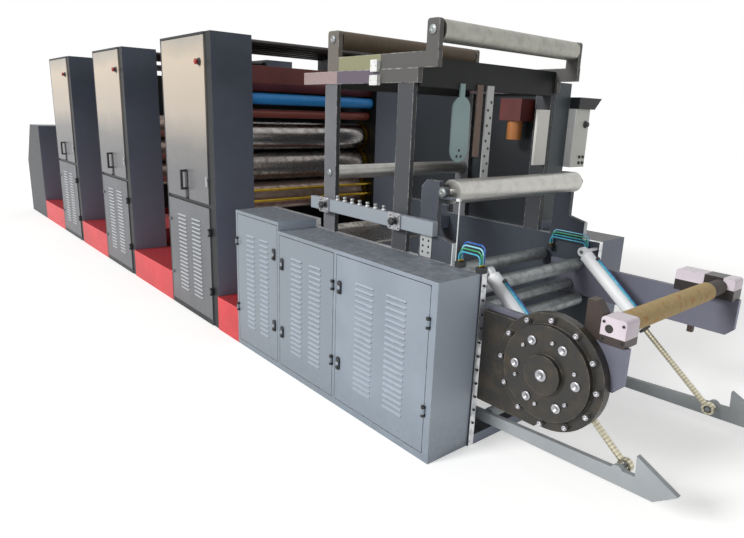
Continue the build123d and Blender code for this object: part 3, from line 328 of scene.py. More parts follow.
def workedMetal(name, look):
    material, tree, place = startMaterial(name)
    spot = place.outputs["Object"]
    lines = addNode(tree, "TexWave", {"bands_direction": "Y", "Scale": waveScale(look["line"]),
                                      "Distortion": 2.0, "Detail": 3.0, "Detail Scale": 2.0,
                                      "Vector": spot})
    stains = addNode(tree, "TexNoise", {"Scale": perMetre(60), "Detail": 6.0, "Roughness": 0.7,
                                        "Vector": spot})
    mask = addNode(tree, "MapRange", {"From Min": 0.45, "From Max": 0.72, "To Max": look["stains"],
                                      "Value": stains})
    tone = addNode(tree, "MixRGB", {0: mask, 1: look["base"], 2: look["stain"]})
    streak = addNode(tree, "Math", {"operation": "MULTIPLY_ADD", 0: lines.outputs["Fac"], 1: 0.10,
                                    2: look["roughness"] - 0.04})
    gloss = addNode(tree, "Math", {"operation": "MULTIPLY_ADD", 0: mask, 1: 0.22, 2: streak})
    rounded = addNode(tree, "Bevel", {"samples": 4, "Radius": 0.002})
    cut = addNode(tree, "Bump", {"Strength": 0.10, "Distance": 0.0005, "Height": lines.outputs["Fac"],
                                 "Normal": rounded})
    finishMaterial(tree, {"Metallic": 1.0, "Base Color": tone, "Roughness": gloss, "Normal": cut})
    return material


# Printing cylinders, ground round: the body by its covering, the drive gear at the end in oiled
# yellow brass. The brownish stains are partly ink and partly a painted brown reflection. The
# grinding lines are drawn 9 to 14 mm apart, because real ones wouldn't show.
gearedLooks = {
    "chromed_cylinder": {"body": "#A3A19F", "stain": "#5A4540", "metal": 1.0, "roughness": 0.18,
                         "line": 9.0},
    "blanket_cylinder": {"body": "#96918D", "stain": "#4A3832", "metal": 0.9, "roughness": 0.24,
                         "line": 14.0},
    "steel_cylinder": {"body": "#A8958B", "stain": "#5C4A43", "metal": 0.6, "roughness": 0.30, "line": 9.0},
}
gearBrass = {"tooth": "#D8B648", "root": "#7A5E22", "start": 0.576, "end": 0.630}


def gearedCylinder(name, look):
    material, tree, place = startMaterial(name)
    spot = place.outputs["Object"]
    lines = addNode(tree, "TexWave", {"bands_direction": "Y", "Scale": waveScale(look["line"]),
                                      "Distortion": 2.0, "Detail": 3.0, "Vector": spot})
    stains = addNode(tree, "TexNoise", {"Scale": perMetre(70), "Detail": 6.0, "Roughness": 0.7,
                                        "Vector": spot})
    axes = addNode(tree, "SeparateXYZ", {"Vector": spot})
    gear = zoneMask(tree, axes, [("Y", gearBrass["start"], gearBrass["end"])])
    # Brownish stains, partly ink and partly a painted brown reflection
    stainAndReflection = addNode(tree, "MapRange", {"From Min": 0.42, "From Max": 0.75, "To Max": 0.8, "Value": stains})
    body = addNode(tree, "MixRGB", {0: stainAndReflection, 1: look["body"], 2: look["stain"]})
    brass = addNode(tree, "MixRGB", {0: stainAndReflection, 1: gearBrass["tooth"], 2: gearBrass["root"]})
    tone = addNode(tree, "MixRGB", {0: gear, 1: body, 2: brass})
    metal = addNode(tree, "Math", {"operation": "MAXIMUM", 0: gear, 1: look["metal"]})
    gloss = addNode(tree, "Math", {"operation": "MULTIPLY_ADD", 0: stainAndReflection, 1: 0.25, 2: look["roughness"]})
    skin = addNode(tree, "Bump", {"Strength": 0.08, "Distance": 0.0005, "Height": lines.outputs["Fac"]})
    finishMaterial(tree, {"Base Color": tone, "Roughness": gloss, "Metallic": metal, "Normal": skin})
    return material


# Side frame plate of flame-cut steel: slate paint on its flats, and its narrow edges milled bright
framePlateLook = {"paint": "#454B54", "edge": "#E8E9EC", "stain": "#A6A7AA"}


def framePlate(name, look):
    material, tree, place = startMaterial(name)
    spot = place.outputs["Object"]
    stains = addNode(tree, "TexNoise", {"Scale": perMetre(45), "Detail": 6.0, "Roughness": 0.7,
                                        "Vector": spot})
    axes = addNode(tree, "SeparateXYZ", {"Vector": place.outputs["Normal"]})
    side = addNode(tree, "Math", {"operation": "ABSOLUTE", 0: axes.outputs["Y"]})
    narrow = addNode(tree, "Math", {"operation": "LESS_THAN", 0: side, 1: 0.5})
    patches = addNode(tree, "MapRange", {"From Min": 0.5, "From Max": 0.66, "Value": stains})
    bright = addNode(tree, "MixRGB", {0: patches, 1: look["edge"], 2: look["stain"]})
    tone = addNode(tree, "MixRGB", {0: narrow, 1: look["paint"], 2: bright})
    rounded = addNode(tree, "Bevel", {"samples": 4, "Radius": 0.003})
    gloss = addNode(tree, "MapRange", {"To Min": 0.28, "To Max": 0.5, "Value": stains})
    shine = addNode(tree, "Math", {"operation": "MULTIPLY", 0: narrow, 1: 0.8})
    skin = addNode(tree, "Bump", {"Strength": 0.1, "Distance": 0.001, "Height": stains, "Normal": rounded})
    finishMaterial(tree, {"Base Color": tone, "Roughness": gloss, "Metallic": shine, "Normal": skin})
    return material


# Rubber covering, ground round and stained with ink: soft sheen, faint rings round the roller,
# drawn 14 to 22 mm apart so that they show
rubberLooks = {
    "olive_rubber": {"base": "#5E4F3C", "stain": "#3B3226", "roughness": 0.62, "line": 14.0},
    "blue_rubber": {"base": "#2690DC", "stain": "#1B6BA8", "roughness": 0.42, "line": 22.0},
    "red_rubber": {"base": "#8A4236", "stain": "#562A23", "roughness": 0.45, "line": 20.0},
    "brown_rubber": {"base": "#5A2E28", "stain": "#38201D", "roughness": 0.45, "line": 20.0},
}


def groundRubber(name, look):
    material, tree, place = startMaterial(name)
    spot = place.outputs["Object"]
    rings = addNode(tree, "TexWave", {"bands_direction": "Y", "Scale": waveScale(look["line"]),
                                      "Distortion": 3.0, "Detail": 2.0, "Vector": spot})
    stains = addNode(tree, "TexNoise", {"Scale": perMetre(50), "Detail": 5.0, "Roughness": 0.65,
                                        "Vector": spot})
    blend = addNode(tree, "Math", {"operation": "MULTIPLY", "use_clamp": True, 0: rings.outputs["Fac"],
                                   1: stains})
    share = addNode(tree, "MapRange", {"From Min": 0.1, "From Max": 0.55, "To Max": 0.5, "Value": blend})
    tone = addNode(tree, "MixRGB", {0: share, 1: look["base"], 2: look["stain"]})
    gloss = addNode(tree, "Math", {"operation": "MULTIPLY_ADD", 0: stains, 1: 0.2,
                                   2: look["roughness"] - 0.1})
    skin = addNode(tree, "Bump", {"Strength": 0.25, "Distance": 0.001, "Height": rings.outputs["Fac"]})
    finishMaterial(tree, {"IOR": 1.52, "Base Color": tone, "Roughness": gloss, "Normal": skin})
    return material


# Wound card tube: brown liner with the seam of its spiral winding and orange rub marks. The
# fibres of the paper wouldn't show, so they are drawn as clouds of 12 mm.
cardLook = {"base": "#BBA375", "seam": "#86704A", "fleck": "#B4742F", "band": 90.0,
            "zones": [([("Y", 0.361, 0.528)], "#504B48"), ([("Y", 0.528, 0.70)], "#3A3836"),
                      ([("Y", -0.70, -0.528)], "#3A3836")]}


def woundCard(name, look, centre):
    material, tree, place = startMaterial(name)
    spot = place.outputs["Object"]
    axes = addNode(tree, "SeparateXYZ", {"Vector": spot})
    across = addNode(tree, "Math", {"operation": "SUBTRACT", 0: axes.outputs["X"], 1: centre[0]})
    above = addNode(tree, "Math", {"operation": "SUBTRACT", 0: axes.outputs["Z"], 1: centre[1]})
    turn = addNode(tree, "Math", {"operation": "ARCTAN2", 0: above, 1: across})
    part = addNode(tree, "Math", {"operation": "MULTIPLY", 0: turn, 1: 1 / (2 * math.pi)})
    pitch = addNode(tree, "Math", {"operation": "MULTIPLY_ADD", 0: axes.outputs["Y"],
                                   1: perMetre(look["band"]), 2: part})
    winding = addNode(tree, "Math", {"operation": "FRACT", 0: pitch})
    seam = addNode(tree, "ValToRGB", {"stops": [(0.0, 0.4), (0.04, 0.0), (0.96, 0.0), (1.0, 0.4)],
                                      "Fac": winding})
    fibre = addNode(tree, "TexNoise", {"Scale": perMetre(12), "Detail": 6.0, "Roughness": 0.7,
                                       "Vector": spot})
    marks = addNode(tree, "TexNoise", {"Scale": perMetre(32), "Detail": 4.0, "Vector": spot})
    spots = addNode(tree, "MapRange", {"From Min": 0.56, "From Max": 0.72, "To Max": 0.7, "Value": marks})
    tone = addNode(tree, "MixRGB", {0: seam, 1: look["base"], 2: look["seam"]})
    tone = addNode(tree, "MixRGB", {0: spots, 1: tone, 2: look["fleck"]})
    mixShare = addNode(tree, "MapRange", {"From Min": 0.4, "From Max": 0.75, "To Max": 0.5, "Value": fibre})
    tone = addNode(tree, "MixRGB", {0: mixShare, 1: tone, 2: look["seam"]})
    tone = colourZones(tree, tone, axes, look["zones"])
    skin = addNode(tree, "Bump", {"Strength": 0.35, "Distance": 0.001, "Height": fibre})
    finishMaterial(tree, {"Roughness": 0.8, "IOR": 1.45, "Base Color": tone, "Normal": skin})
    return material


# Sand-cast iron under oily black paint: grainy skin, brown grease and broken highlights. The
# grain of the sand is about 1 mm, too fine to show, and is drawn at 7 mm.
castLook = {"base": "#2B2A27", "grease": "#40362A", "chipAndGlint": "#A09C94", "grain": 7.0, "chipsAndGlints": (0.4, 0.6),
            "wearAndGlint": 0.9, "gloss": (0.22, 0.6), "relief": (0.5, 0.0015)}


def castIron(name, look):
    material, tree, place = startMaterial(name)
    spot = place.outputs["Object"]
    grain = addNode(tree, "TexNoise", {"Scale": perMetre(look["grain"]), "Detail": 4.0, "Vector": spot})
    grease = addNode(tree, "TexNoise", {"Scale": perMetre(70), "Detail": 5.0, "Roughness": 0.65,
                                        "Vector": spot})
    share = addNode(tree, "MapRange", {"From Min": 0.45, "From Max": 0.7, "Value": grease})
    tone = addNode(tree, "MixRGB", {0: share, 1: look["base"], 2: look["grease"]})
    wornCoat(tree, tone, grease, grain, {**paintCoat, **look})
    return material


# Glass-filled nylon, moulded: deep matt black with a spark-eroded grain, drawn at 3 mm because
# the real one of 0.3 mm wouldn't show
nylonLook = {"base": "#1D1E20", "rub": "#3A3B3E", "roughness": 0.5}


def mouldedNylon(name, look):
    material, tree, place = startMaterial(name)
    grain = addNode(tree, "TexNoise", {"Scale": perMetre(3), "Detail": 2.0,
                                       "Vector": place.outputs["Object"]})
    share = addNode(tree, "MapRange", {"From Min": 0.4, "From Max": 0.75, "Value": grain})
    tone = addNode(tree, "MixRGB", {0: share, 1: look["base"], 2: look["rub"]})
    rounded = addNode(tree, "Bevel", {"samples": 4, "Radius": 0.003})
    skin = addNode(tree, "Bump", {"Strength": 0.2, "Distance": 0.0005, "Height": grain, "Normal": rounded})
    finishMaterial(tree, {"Roughness": look["roughness"], "IOR": 1.53, "Base Color": tone, "Normal": skin})
    return material


# Extruded air hoses of polyurethane, each in its own colour, glossy and slightly see-through
hoseLook = {"stops": [(0.0, "#2FA6C2"), (0.2, "#2F9E62"), (0.45, "#8FD6E6"), (0.7, "#1E5FB8"),
                      (0.88, "#46B4D6")],
            "start": -0.664, "pitch": 0.042, "roughness": 0.25}


def hosePlastic(name, look):
    material, tree, place = startMaterial(name)
    spot = place.outputs["Object"]
    axes = addNode(tree, "SeparateXYZ", {"Vector": spot})
    shifted = addNode(tree, "Math", {"operation": "SUBTRACT", 0: axes.outputs["Y"],
                                     1: look["start"] - look["pitch"] / 10})
    rows = addNode(tree, "Math", {"operation": "DIVIDE", 0: shifted, 1: look["pitch"]})
    row = addNode(tree, "Math", {"operation": "FRACT", 0: rows})
    ramp = addNode(tree, "ValToRGB", {"stops": look["stops"], "Fac": row})
    ramp.color_ramp.interpolation = "CONSTANT"
    cloud = addNode(tree, "TexNoise", {"Scale": perMetre(9), "Detail": 3.0, "Vector": spot})
    haze = addNode(tree, "MapRange", {"From Min": 0.5, "From Max": 0.8, "To Max": 0.35, "Value": cloud})
    tone = addNode(tree, "MixRGB", {0: haze, 1: ramp, 2: "#E8F4F6"})
    finishMaterial(tree, {"Roughness": look["roughness"], "IOR": 1.5, "Subsurface Weight": 0.1,
                          "Subsurface Radius": (0.002, 0.002, 0.002), "Base Color": tone})
    return material


# Moulded plastic of the push buttons, terminal cases and cylinder lines: even colour, soft gloss
plasticLooks = {
    "red_button_plastic": {"base": "#B01F22", "shade": "#7E1518", "roughness": 0.3},
    "white_case_plastic": {"base": "#EDEDEA", "shade": "#D5D6D6", "roughness": 0.35},
    "cyan_hose_plastic": {"base": "#5CC0D6", "shade": "#2F93B4", "roughness": 0.3},
    "blue_hose_plastic": {"base": "#3B6FB8", "shade": "#26508E", "roughness": 0.3},
}


def mouldedPlastic(name, look):
    material, tree, place = startMaterial(name)
    cloud = addNode(tree, "TexNoise", {"Scale": perMetre(18), "Detail": 3.0,
                                       "Vector": place.outputs["Object"]})
    share = addNode(tree, "MapRange", {"From Min": 0.4, "From Max": 0.7, "Value": cloud})
    tone = addNode(tree, "MixRGB", {0: share, 1: look["base"], 2: look["shade"]})
    skin = addNode(tree, "Bump", {"Strength": 0.05, "Distance": 0.001, "Height": cloud})
    finishMaterial(tree, {"Roughness": look["roughness"], "IOR": 1.5, "Base Color": tone, "Normal": skin})
    return material


# Ground steel rod of a lift cylinder: bright, with a film of old oil, and rings across its length
# that are drawn 18 mm apart so that they show
rodLook = {"base": "#D2CDB8", "ring": "#8A7A52", "spacing": 18.0, "roughness": 0.22}


def oiledRod(name, look, along):
    material, tree, place = startMaterial(name)
    spot = place.outputs["Object"]
    reach = addNode(tree, "VectorMath", {"operation": "DOT_PRODUCT", 0: spot, 1: along})
    phase = addNode(tree, "Math", {"operation": "MULTIPLY", 0: reach.outputs["Value"],
                                   1: perMetre(look["spacing"])})
    turn = addNode(tree, "Math", {"operation": "PINGPONG", 0: phase, 1: 0.5})
    film = addNode(tree, "TexNoise", {"Scale": perMetre(30), "Detail": 4.0, "Vector": spot})
    wide = addNode(tree, "MapRange", {"From Min": 0.15, "From Max": 0.4, "Value": turn})
    broken = addNode(tree, "Math", {"operation": "MULTIPLY", "use_clamp": True, 0: wide, 1: film})
    tone = addNode(tree, "MixRGB", {0: broken, 1: look["base"], 2: look["ring"]})
    gloss = addNode(tree, "Math", {"operation": "MULTIPLY_ADD", 0: film, 1: 0.2, 2: look["roughness"]})
    skin = addNode(tree, "Bump", {"Strength": 0.12, "Distance": 0.0005, "Height": turn})
    finishMaterial(tree, {"Metallic": 0.9, "Base Color": tone, "Roughness": gloss, "Normal": skin})
    return material


# Line of a lift cylinder at rest, from its upper pivot to the middle of the rod's eye
ramLook = {"pivotX": -0.105, "pivotZ": 0.940, "eye": 0.034}


def ramLine(side):
    low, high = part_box("lift_rod_" + side)
    y = middle("lift_barrel_" + side).y
    start = Vector((ramLook["pivotX"], y, ramLook["pivotZ"]))
    tip = Vector((high[0] - ramLook["eye"], y, low[2] + ramLook["eye"]))
    return start, (tip - start).normalized()


def middle(node):
    low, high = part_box(node)
    return (Vector(low) + Vector(high)) / 2


# A material is named for its surface and its stuff, and kept under the slot that the pieces name
def makeFinishes():
    made = {}
    for surface, maker, looks in (("sprayed_", sprayedPaint, paintLooks), ("", workedMetal, metalLooks),
                                  ("ground_", groundRubber, rubberLooks),
                                  ("moulded_", mouldedPlastic, plasticLooks),
                                  ("ground_", gearedCylinder, gearedLooks)):
        for slot, look in looks.items():
            made[slot] = maker(surface + slot, look)
    core = middle("roll_core")
    made["hose_blue"] = hosePlastic("extruded_polyurethane", hoseLook)
    made["slate_paint"] = slatePaint("sprayed_slate_paint", slateLook)
    made["dull_slate"] = slatePaint("sprayed_dull_slate_paint", dullSlate)
    made["upper_cover_paint"] = glossEnamel("sprayed_gloss_enamel_with_painted_reflection", upperLook)
    made["frame_plate"] = framePlate("painted_plate_with_milled_edges", framePlateLook)
    made["cast_iron_black"] = castIron("sand_cast_iron", castLook)
    made["black_plastic"] = mouldedNylon("moulded_glass_filled_nylon", nylonLook)
    made["ground_rod"] = oiledRod("ground_oiled_steel", rodLook, ramLine("operator")[1])
    made["core_card"] = woundCard("wound_card", cardLook, (core.x, core.z))
    return made


# Nodes whose real finish is finer than the slot that they share in the record
finerFinish = {"infeed_side_frames": "frame_plate", "plate_cylinder": "chromed_cylinder",
               "blanket_cylinder": "blanket_cylinder", "impression_cylinder": "steel_cylinder",
               "inner_cylinders": "steel_cylinder", "lift_arms": "arm_grey", "roller_stands": "stand_paint",
               "core_brackets": "rusted_black", "tower_guards": "black_paint",
               "core_bearings": "bearing_enamel", "top_roller": "aged_aluminium",
               "delivery_housings": "dull_slate", "drive_housing": "dull_slate",
               "infeed_cabinet_drive": "dull_slate", "tower_tie_bars": "blackened_steel",
               "lift_rod_operator": "ground_rod", "lift_rod_drive": "ground_rod",
               "guide_roller_1": "worn_aluminium", "guide_roller_2": "worn_aluminium",
               "guide_roller_3": "worn_aluminium", "guide_roller_4": "worn_aluminium"}
finishes = makeFinishes()
for part in frame["record"]["subparts"]:
    slots = frame["nodes"][part["node"]].data.materials
    slots.clear()
    slots.append(finishes[finerFinish.get(part["node"], part["material_slot"])])
print("finishes on", len(frame["nodes"]), "parts")


# Mesh helpers

toOperator, toStand, upward = (0, -1, 0), (1, 0, 0), (0, 0, 1)
sharpAngle = math.radians(32)  # edges that turn more than this stay crisp
smallRound, largeRound, starRound, lineRound = 24, 32, 48, 16  # flats round a turned form
cornerSteps = 4  # flats in each rounded corner of a plate


def newPiece(name, slot, body, fill):
    mesh = bpy.data.meshes.new(name)
    shape = bmesh.new()
    fill(shape)
    for edge in shape.edges:
        if len(edge.link_faces) == 2 and edge.calc_face_angle() > sharpAngle:
            edge.smooth = False
    for face in shape.faces:
        face.smooth = True
    shape.to_mesh(mesh)
    shape.free()
    mesh.materials.append(finishes[slot])
    piece = bpy.data.objects.new(name, mesh)
    bpy.context.collection.objects.link(piece)
    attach(piece, body)


# Turned form about an axis: the profile is (radius, height), and a radius may depend on angle
def turned(shape, profile, place, axis, steps=smallRound):
    turn = Vector(axis).to_track_quat("Z", "Y").to_matrix().to_4x4()
    stand = Matrix.Translation(place) @ turn
    rings = []
    for radius, height in profile:
        ring = []
        for step in range(steps):
            angle = 2 * math.pi * step / steps
            reach = radius(angle) if callable(radius) else radius
            corner = Vector((reach * math.cos(angle), reach * math.sin(angle), height))
            ring.append(shape.verts.new(stand @ corner))
        rings.append(ring)
    for lower, upper in zip(rings, rings[1:]):
        for step in range(steps):
            following = (step + 1) % steps
            shape.faces.new((lower[step], lower[following], upper[following], upper[step]))
    shape.faces.new(list(reversed(rings[0])))
    shape.faces.new(rings[-1])


def hexagon(halfFlats):
    return lambda angle: halfFlats / math.cos((angle % (math.pi / 3)) - math.pi / 6)


# Socket head screw with the seat of its head on the place given. Shares of the head's radius,
# and of its height for the shoulder and the bottom of the socket.
screwLook = {"tall": 1.1, "shoulder": 0.85, "top": 0.86, "socket": 0.52, "bottom": 0.5, "depth": 0.45}


def socketScrew(shape, place, axis, radius):
    tall = radius * screwLook["tall"]
    profile = [(radius, 0.0), (radius, tall * screwLook["shoulder"]), (radius * screwLook["top"], tall),
               (hexagon(radius * screwLook["socket"]), tall),
               (hexagon(radius * screwLook["bottom"]), tall * screwLook["depth"])]
    turned(shape, profile, place, axis)


def screws(name, slot, body, places, axis, radius):
    def fill(shape):
        for place in places:
            socketScrew(shape, place, axis, radius)
    newPiece(name, slot, body, fill)


# Plate with rounded corners that stands out from its centre towards the operator
def roundedPlate(shape, centre, wide, tall, thick, corner):
    outline = []
    for quarter, (sx, sz) in enumerate(((1, 1), (-1, 1), (-1, -1), (1, -1))):
        for step in range(cornerSteps + 1):
            angle = math.pi / 2 * (quarter + step / cornerSteps)
            outline.append((centre[0] + sx * (wide / 2 - corner) + corner * math.cos(angle),
                            centre[2] + sz * (tall / 2 - corner) + corner * math.sin(angle)))
    back = [shape.verts.new((x, centre[1], z)) for x, z in outline]
    front = [shape.verts.new((x, centre[1] - thick, z)) for x, z in outline]
    count = len(outline)
    for step in range(count):
        following = (step + 1) % count
        shape.faces.new((back[step], back[following], front[following], front[step]))
    shape.faces.new(front)
    shape.faces.new(list(reversed(back)))
    bmesh.ops.recalc_face_normals(shape, faces=shape.faces)


def lookPlate(shape, centre, look):
    roundedPlate(shape, centre, look["wide"], look["tall"], look["thick"], look["corner"])


def ringOf(count, circle, centre, y):
    places = []
    for number in range(count):
        angle = 2 * math.pi * number / count
        places.append((centre[0] + circle * math.cos(angle), y, centre[1] + circle * math.sin(angle)))
    return places


# Push buttons on the upper covers. The profiles are shares of the radius and heights in metres.
buttonLook = {"fromEdge": 0.09, "height": 2.09, "collar": 0.024, "cap": 0.022, "seat": 0.014,
              "collarProfile": [(1.2, 0.0), (1.2, 0.003), (1.0, 0.005), (1.0, 0.014), (0.8, 0.016)],
              "capProfile": [(0.6, 0.0), (0.6, 0.008), (0.95, 0.012), (1.0, 0.018)],
              "dome": 0.010, "domeSteps": 6}


def coverEnds():
    return [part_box("tower_%d_lower_door" % number)[1][0] for number in (1, 2, 3)]


def stopButtons():
    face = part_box("tower_upper_doors")[0][1]
    places = [(end - buttonLook["fromEdge"], face, buttonLook["height"]) for end in coverEnds()]

    def collars(shape):
        profile = [(buttonLook["collar"] * share, height) for share, height in buttonLook["collarProfile"]]
        for place in places:
            turned(shape, profile, place, toOperator, largeRound)

    def caps(shape):
        profile = [(buttonLook["cap"] * share, height) for share, height in buttonLook["capProfile"]]
        shoulder = profile[-1][1]
        for step in range(1, buttonLook["domeSteps"]):
            rise = math.pi / 2 * step / buttonLook["domeSteps"]
            height = shoulder + buttonLook["dome"] * math.sin(rise)
            profile.append((buttonLook["cap"] * math.cos(rise), height))
        for x, y, z in places:
            turned(shape, profile, (x, y - buttonLook["seat"], z), toOperator, largeRound)

    newPiece("stop_button_collars", "black_plastic", "root", collars)
    newPiece("stop_button_caps", "red_button_plastic", "root", caps)


# Back plates of the loop handles, longer below than above
gripLook = {"wide": 0.046, "tall": 0.250, "thick": 0.007, "corner": 0.014, "drop": 0.040, "bar": 0.018,
            "screw": 0.008, "screwRise": 0.112}


def handlePlates():
    low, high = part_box("door_handles")
    face = high[1]
    first, last = low[0] + gripLook["bar"] / 2, high[0] - gripLook["bar"] / 2
    z = (low[2] + high[2]) / 2 - gripLook["drop"]

    def fill(shape):
        for x in (first, (first + last) / 2, last):
            lookPlate(shape, (x, face, z), gripLook)
            for side in (-1, 1):
                place = (x, face - gripLook["thick"], z + side * gripLook["screwRise"])
                socketScrew(shape, place, toOperator, gripLook["screw"])
    newPiece("handle_back_plates", "black_plastic", "root", fill)


# Lock plates beside the loop handles, each with its round lock above the middle
lockLook = {"fromEdge": 0.035, "height": 1.19, "wide": 0.036, "tall": 0.078, "thick": 0.006,
            "corner": 0.008, "lock": [(0.011, 0.0), (0.011, 0.004), (0.009, 0.005)], "lockRise": 0.014}


def lockPlates():
    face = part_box("tower_upper_doors")[0][1]

    def fill(shape):
        for end in coverEnds():
            x, z = end - lockLook["fromEdge"], lockLook["height"]
            lookPlate(shape, (x, face, z), lockLook)
            place = (x, face - lockLook["thick"], z + lockLook["lockRise"])
            turned(shape, lockLook["lock"], place, toOperator)
    newPiece("cover_lock_plates", "machined_steel", "root", fill)


# Quarter-turn latch handles on the free side of each infeed door, on the axis of its latches.
# The gap is the one between a door and its opening, and a height is a share of that opening.
latchLook = {"fromEdge": 0.035, "gap": 0.005, "heights": (0.27, 0.79), "wide": 0.032, "tall": 0.080,
             "thick": 0.010, "corner": 0.010, "lever": [(0.011, 0.0), (0.011, 0.006), (0.008, 0.009)],
             "leverDrop": 0.026}


def latchHandles():
    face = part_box("infeed_cabinet_operator")[0][1]
    for number, freeSide in ((1, 0), (2, 0), (3, 1)):
        door = "infeed_door_%d" % number
        low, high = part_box(door)
        inset = latchLook["fromEdge"] if freeSide == 0 else -latchLook["fromEdge"]
        x = (low, high)[freeSide][0] + inset
        opening = high[2] - low[2] + 2 * latchLook["gap"]

        def fill(shape):
            for share in latchLook["heights"]:
                z = low[2] - latchLook["gap"] + share * opening
                lookPlate(shape, (x, face, z), latchLook)
                place = (x, face - latchLook["thick"], z - latchLook["leverDrop"])
                turned(shape, latchLook["lever"], place, toOperator)
        newPiece("infeed_latch_%d" % number, "black_plastic", door, fill)


# Screws on the bosses of the round housing, the plugs and screws of its lid, and its shaft end.
# Round the lid come a plug, a screw and a gap in turn.
housingLook = {"screws": 12, "circle": 0.260, "radius": 0.285, "seat": 0.044, "head": 0.013,
               "plugs": 6, "lidCircle": 0.165, "lidSeat": 0.026, "lidHead": 0.010,
               "plug": [(0.024, 0.0), (0.024, 0.006), (0.021, 0.009), (0.012, 0.009), (0.010, 0.003)],
               "shaft": [(0.03, 0.0), (0.03, 0.006), (0.026, 0.009), (0.012, 0.009), (0.012, 0.004)]}


def housingScrews():
    low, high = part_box("round_housing")
    centre = (high[0] - housingLook["radius"], high[2] - housingLook["radius"])
    rim = ringOf(housingLook["screws"], housingLook["circle"], centre, low[1] + housingLook["seat"])
    lid = ringOf(housingLook["plugs"] * 3, housingLook["lidCircle"], centre, low[1] + housingLook["lidSeat"])

    def plugs(shape):
        for place in lid[::3]:
            turned(shape, housingLook["plug"], place, toOperator, largeRound)

    def shaftEnd(shape):
        turned(shape, housingLook["shaft"], (centre[0], low[1], centre[1]), toOperator, largeRound)

    screws("housing_screws", "machined_steel", "root", rim, toOperator, housingLook["head"])
    screws("housing_lid_screws", "machined_steel", "root", lid[1::3], toOperator, housingLook["lidHead"])
    newPiece("housing_plugs", "machined_steel", "root", plugs)
    newPiece("housing_shaft_end", "machined_steel", "root", shaftEnd)


# Bearing covers over the ends of the gantry rollers
coverLook = {"profile": [(0.025, 0.0), (0.025, 0.005), (0.022, 0.007), (0.016, 0.007), (0.014, 0.010),
                         (0.006, 0.010), (0.005, 0.006)],
             "screws": 4, "screwCircle": 0.0190, "screwSeat": 0.006, "screw": 0.0026}


def bearingCovers():
    def covers(shape):
        for name in ("top_roller", "felt_roller", "mid_roller", "infeed_roller"):
            low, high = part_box(name)
            axis = middle(name)
            for face, out in ((low[1], -1), (high[1], 1)):
                turned(shape, coverLook["profile"], (axis.x, face, axis.z), (0, out, 0), largeRound)
                for place in ringOf(coverLook["screws"], coverLook["screwCircle"], (axis.x, axis.z),
                                    face + out * coverLook["screwSeat"]):
                    socketScrew(shape, place, (0, out, 0), coverLook["screw"])
    newPiece("roller_bearing_covers", "worn_aluminium", "root", covers)


# Clamps that hold the side rail, with the star grips that close them
railLook = {"places": (-1.3375, -0.6375), "height": 1.160, "wide": 0.105, "tall": 0.10, "thick": 0.010,
            "corner": 0.012, "bolt": 0.007, "boltAcross": 0.036, "boltRise": 0.034, "grip": 0.022,
            "points": 6, "pointDepth": 0.12}


def railClamps():
    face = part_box("roller_stands")[0][1]
    z = railLook["height"]

    def plates(shape):
        for x in railLook["places"]:
            lookPlate(shape, (x, face, z), railLook)
            for across in (-railLook["boltAcross"], railLook["boltAcross"]):
                for rise in (-railLook["boltRise"], railLook["boltRise"]):
                    place = (x + across, face - railLook["thick"], z + rise)
                    socketScrew(shape, place, toOperator, railLook["bolt"])

    def star(angle):
        return railLook["grip"] * (1.0 + railLook["pointDepth"] * math.cos(railLook["points"] * angle))

    def grips(shape):
        profile = [(0.009, 0.0), (0.009, 0.010), (star, 0.012), (star, 0.026), (0.014, 0.030)]
        for x in railLook["places"]:
            turned(shape, profile, (x, face - railLook["thick"], z), toOperator, starRound)

    newPiece("rail_clamps", "machined_steel", "root", plates)
    newPiece("rail_grips", "black_plastic", "root", grips)


# Adjusting knobs in a row on top of the side rail, each on a pale collar
knobLook = {"first": -1.22, "last": -0.76, "count": 7, "top": 1.200, "inset": 0.019,
            "collar": [(0.013, 0.0), (0.013, 0.010), (0.010, 0.013), (0.006, 0.013), (0.006, 0.020)],
            "grip": [(0.011, 0.018), (0.012, 0.020), (0.012, 0.030), (0.009, 0.033)]}


def railKnobs():
    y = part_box("roller_stands")[0][1] + knobLook["inset"]
    step = (knobLook["last"] - knobLook["first"]) / (knobLook["count"] - 1)

    def row(profile):
        def fill(shape):
            for number in range(knobLook["count"]):
                turned(shape, profile, (knobLook["first"] + number * step, y, knobLook["top"]), upward)
        return fill
    newPiece("rail_knob_collars", "white_case_plastic", "root", row(knobLook["collar"]))
    newPiece("rail_knob_grips", "worn_aluminium", "root", row(knobLook["grip"]))


# Dark screws down the bright front edge of the operator side frame plate
frameScrewLook = {"inset": 0.020, "low": 0.14, "high": 0.92, "count": 11, "radius": 0.007}


def frameScrews():
    low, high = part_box("infeed_side_frames")
    step = (frameScrewLook["high"] - frameScrewLook["low"]) / (frameScrewLook["count"] - 1)
    places = [(high[0], low[1] + frameScrewLook["inset"], frameScrewLook["low"] + number * step)
              for number in range(frameScrewLook["count"])]
    screws("frame_edge_screws", "black_plastic", "root", places, toStand, frameScrewLook["radius"])


# Knob and pilot lamps on the end of the control box: inset from its outer edge, then the drop
# of the knob from the top or the rise of a lamp from the bottom
boxLook = {"knob": (0.050, 0.105), "lamps": [(0.035, 0.030), (0.080, 0.030), (0.035, 0.072), (0.080, 0.072)],
           "knobProfile": [(0.026, 0.0), (0.026, 0.004), (0.018, 0.006), (0.018, 0.022), (0.015, 0.025)],
           "lampProfile": [(0.012, 0.0), (0.012, 0.003), (0.009, 0.005), (0.008, 0.010), (0.005, 0.012)]}


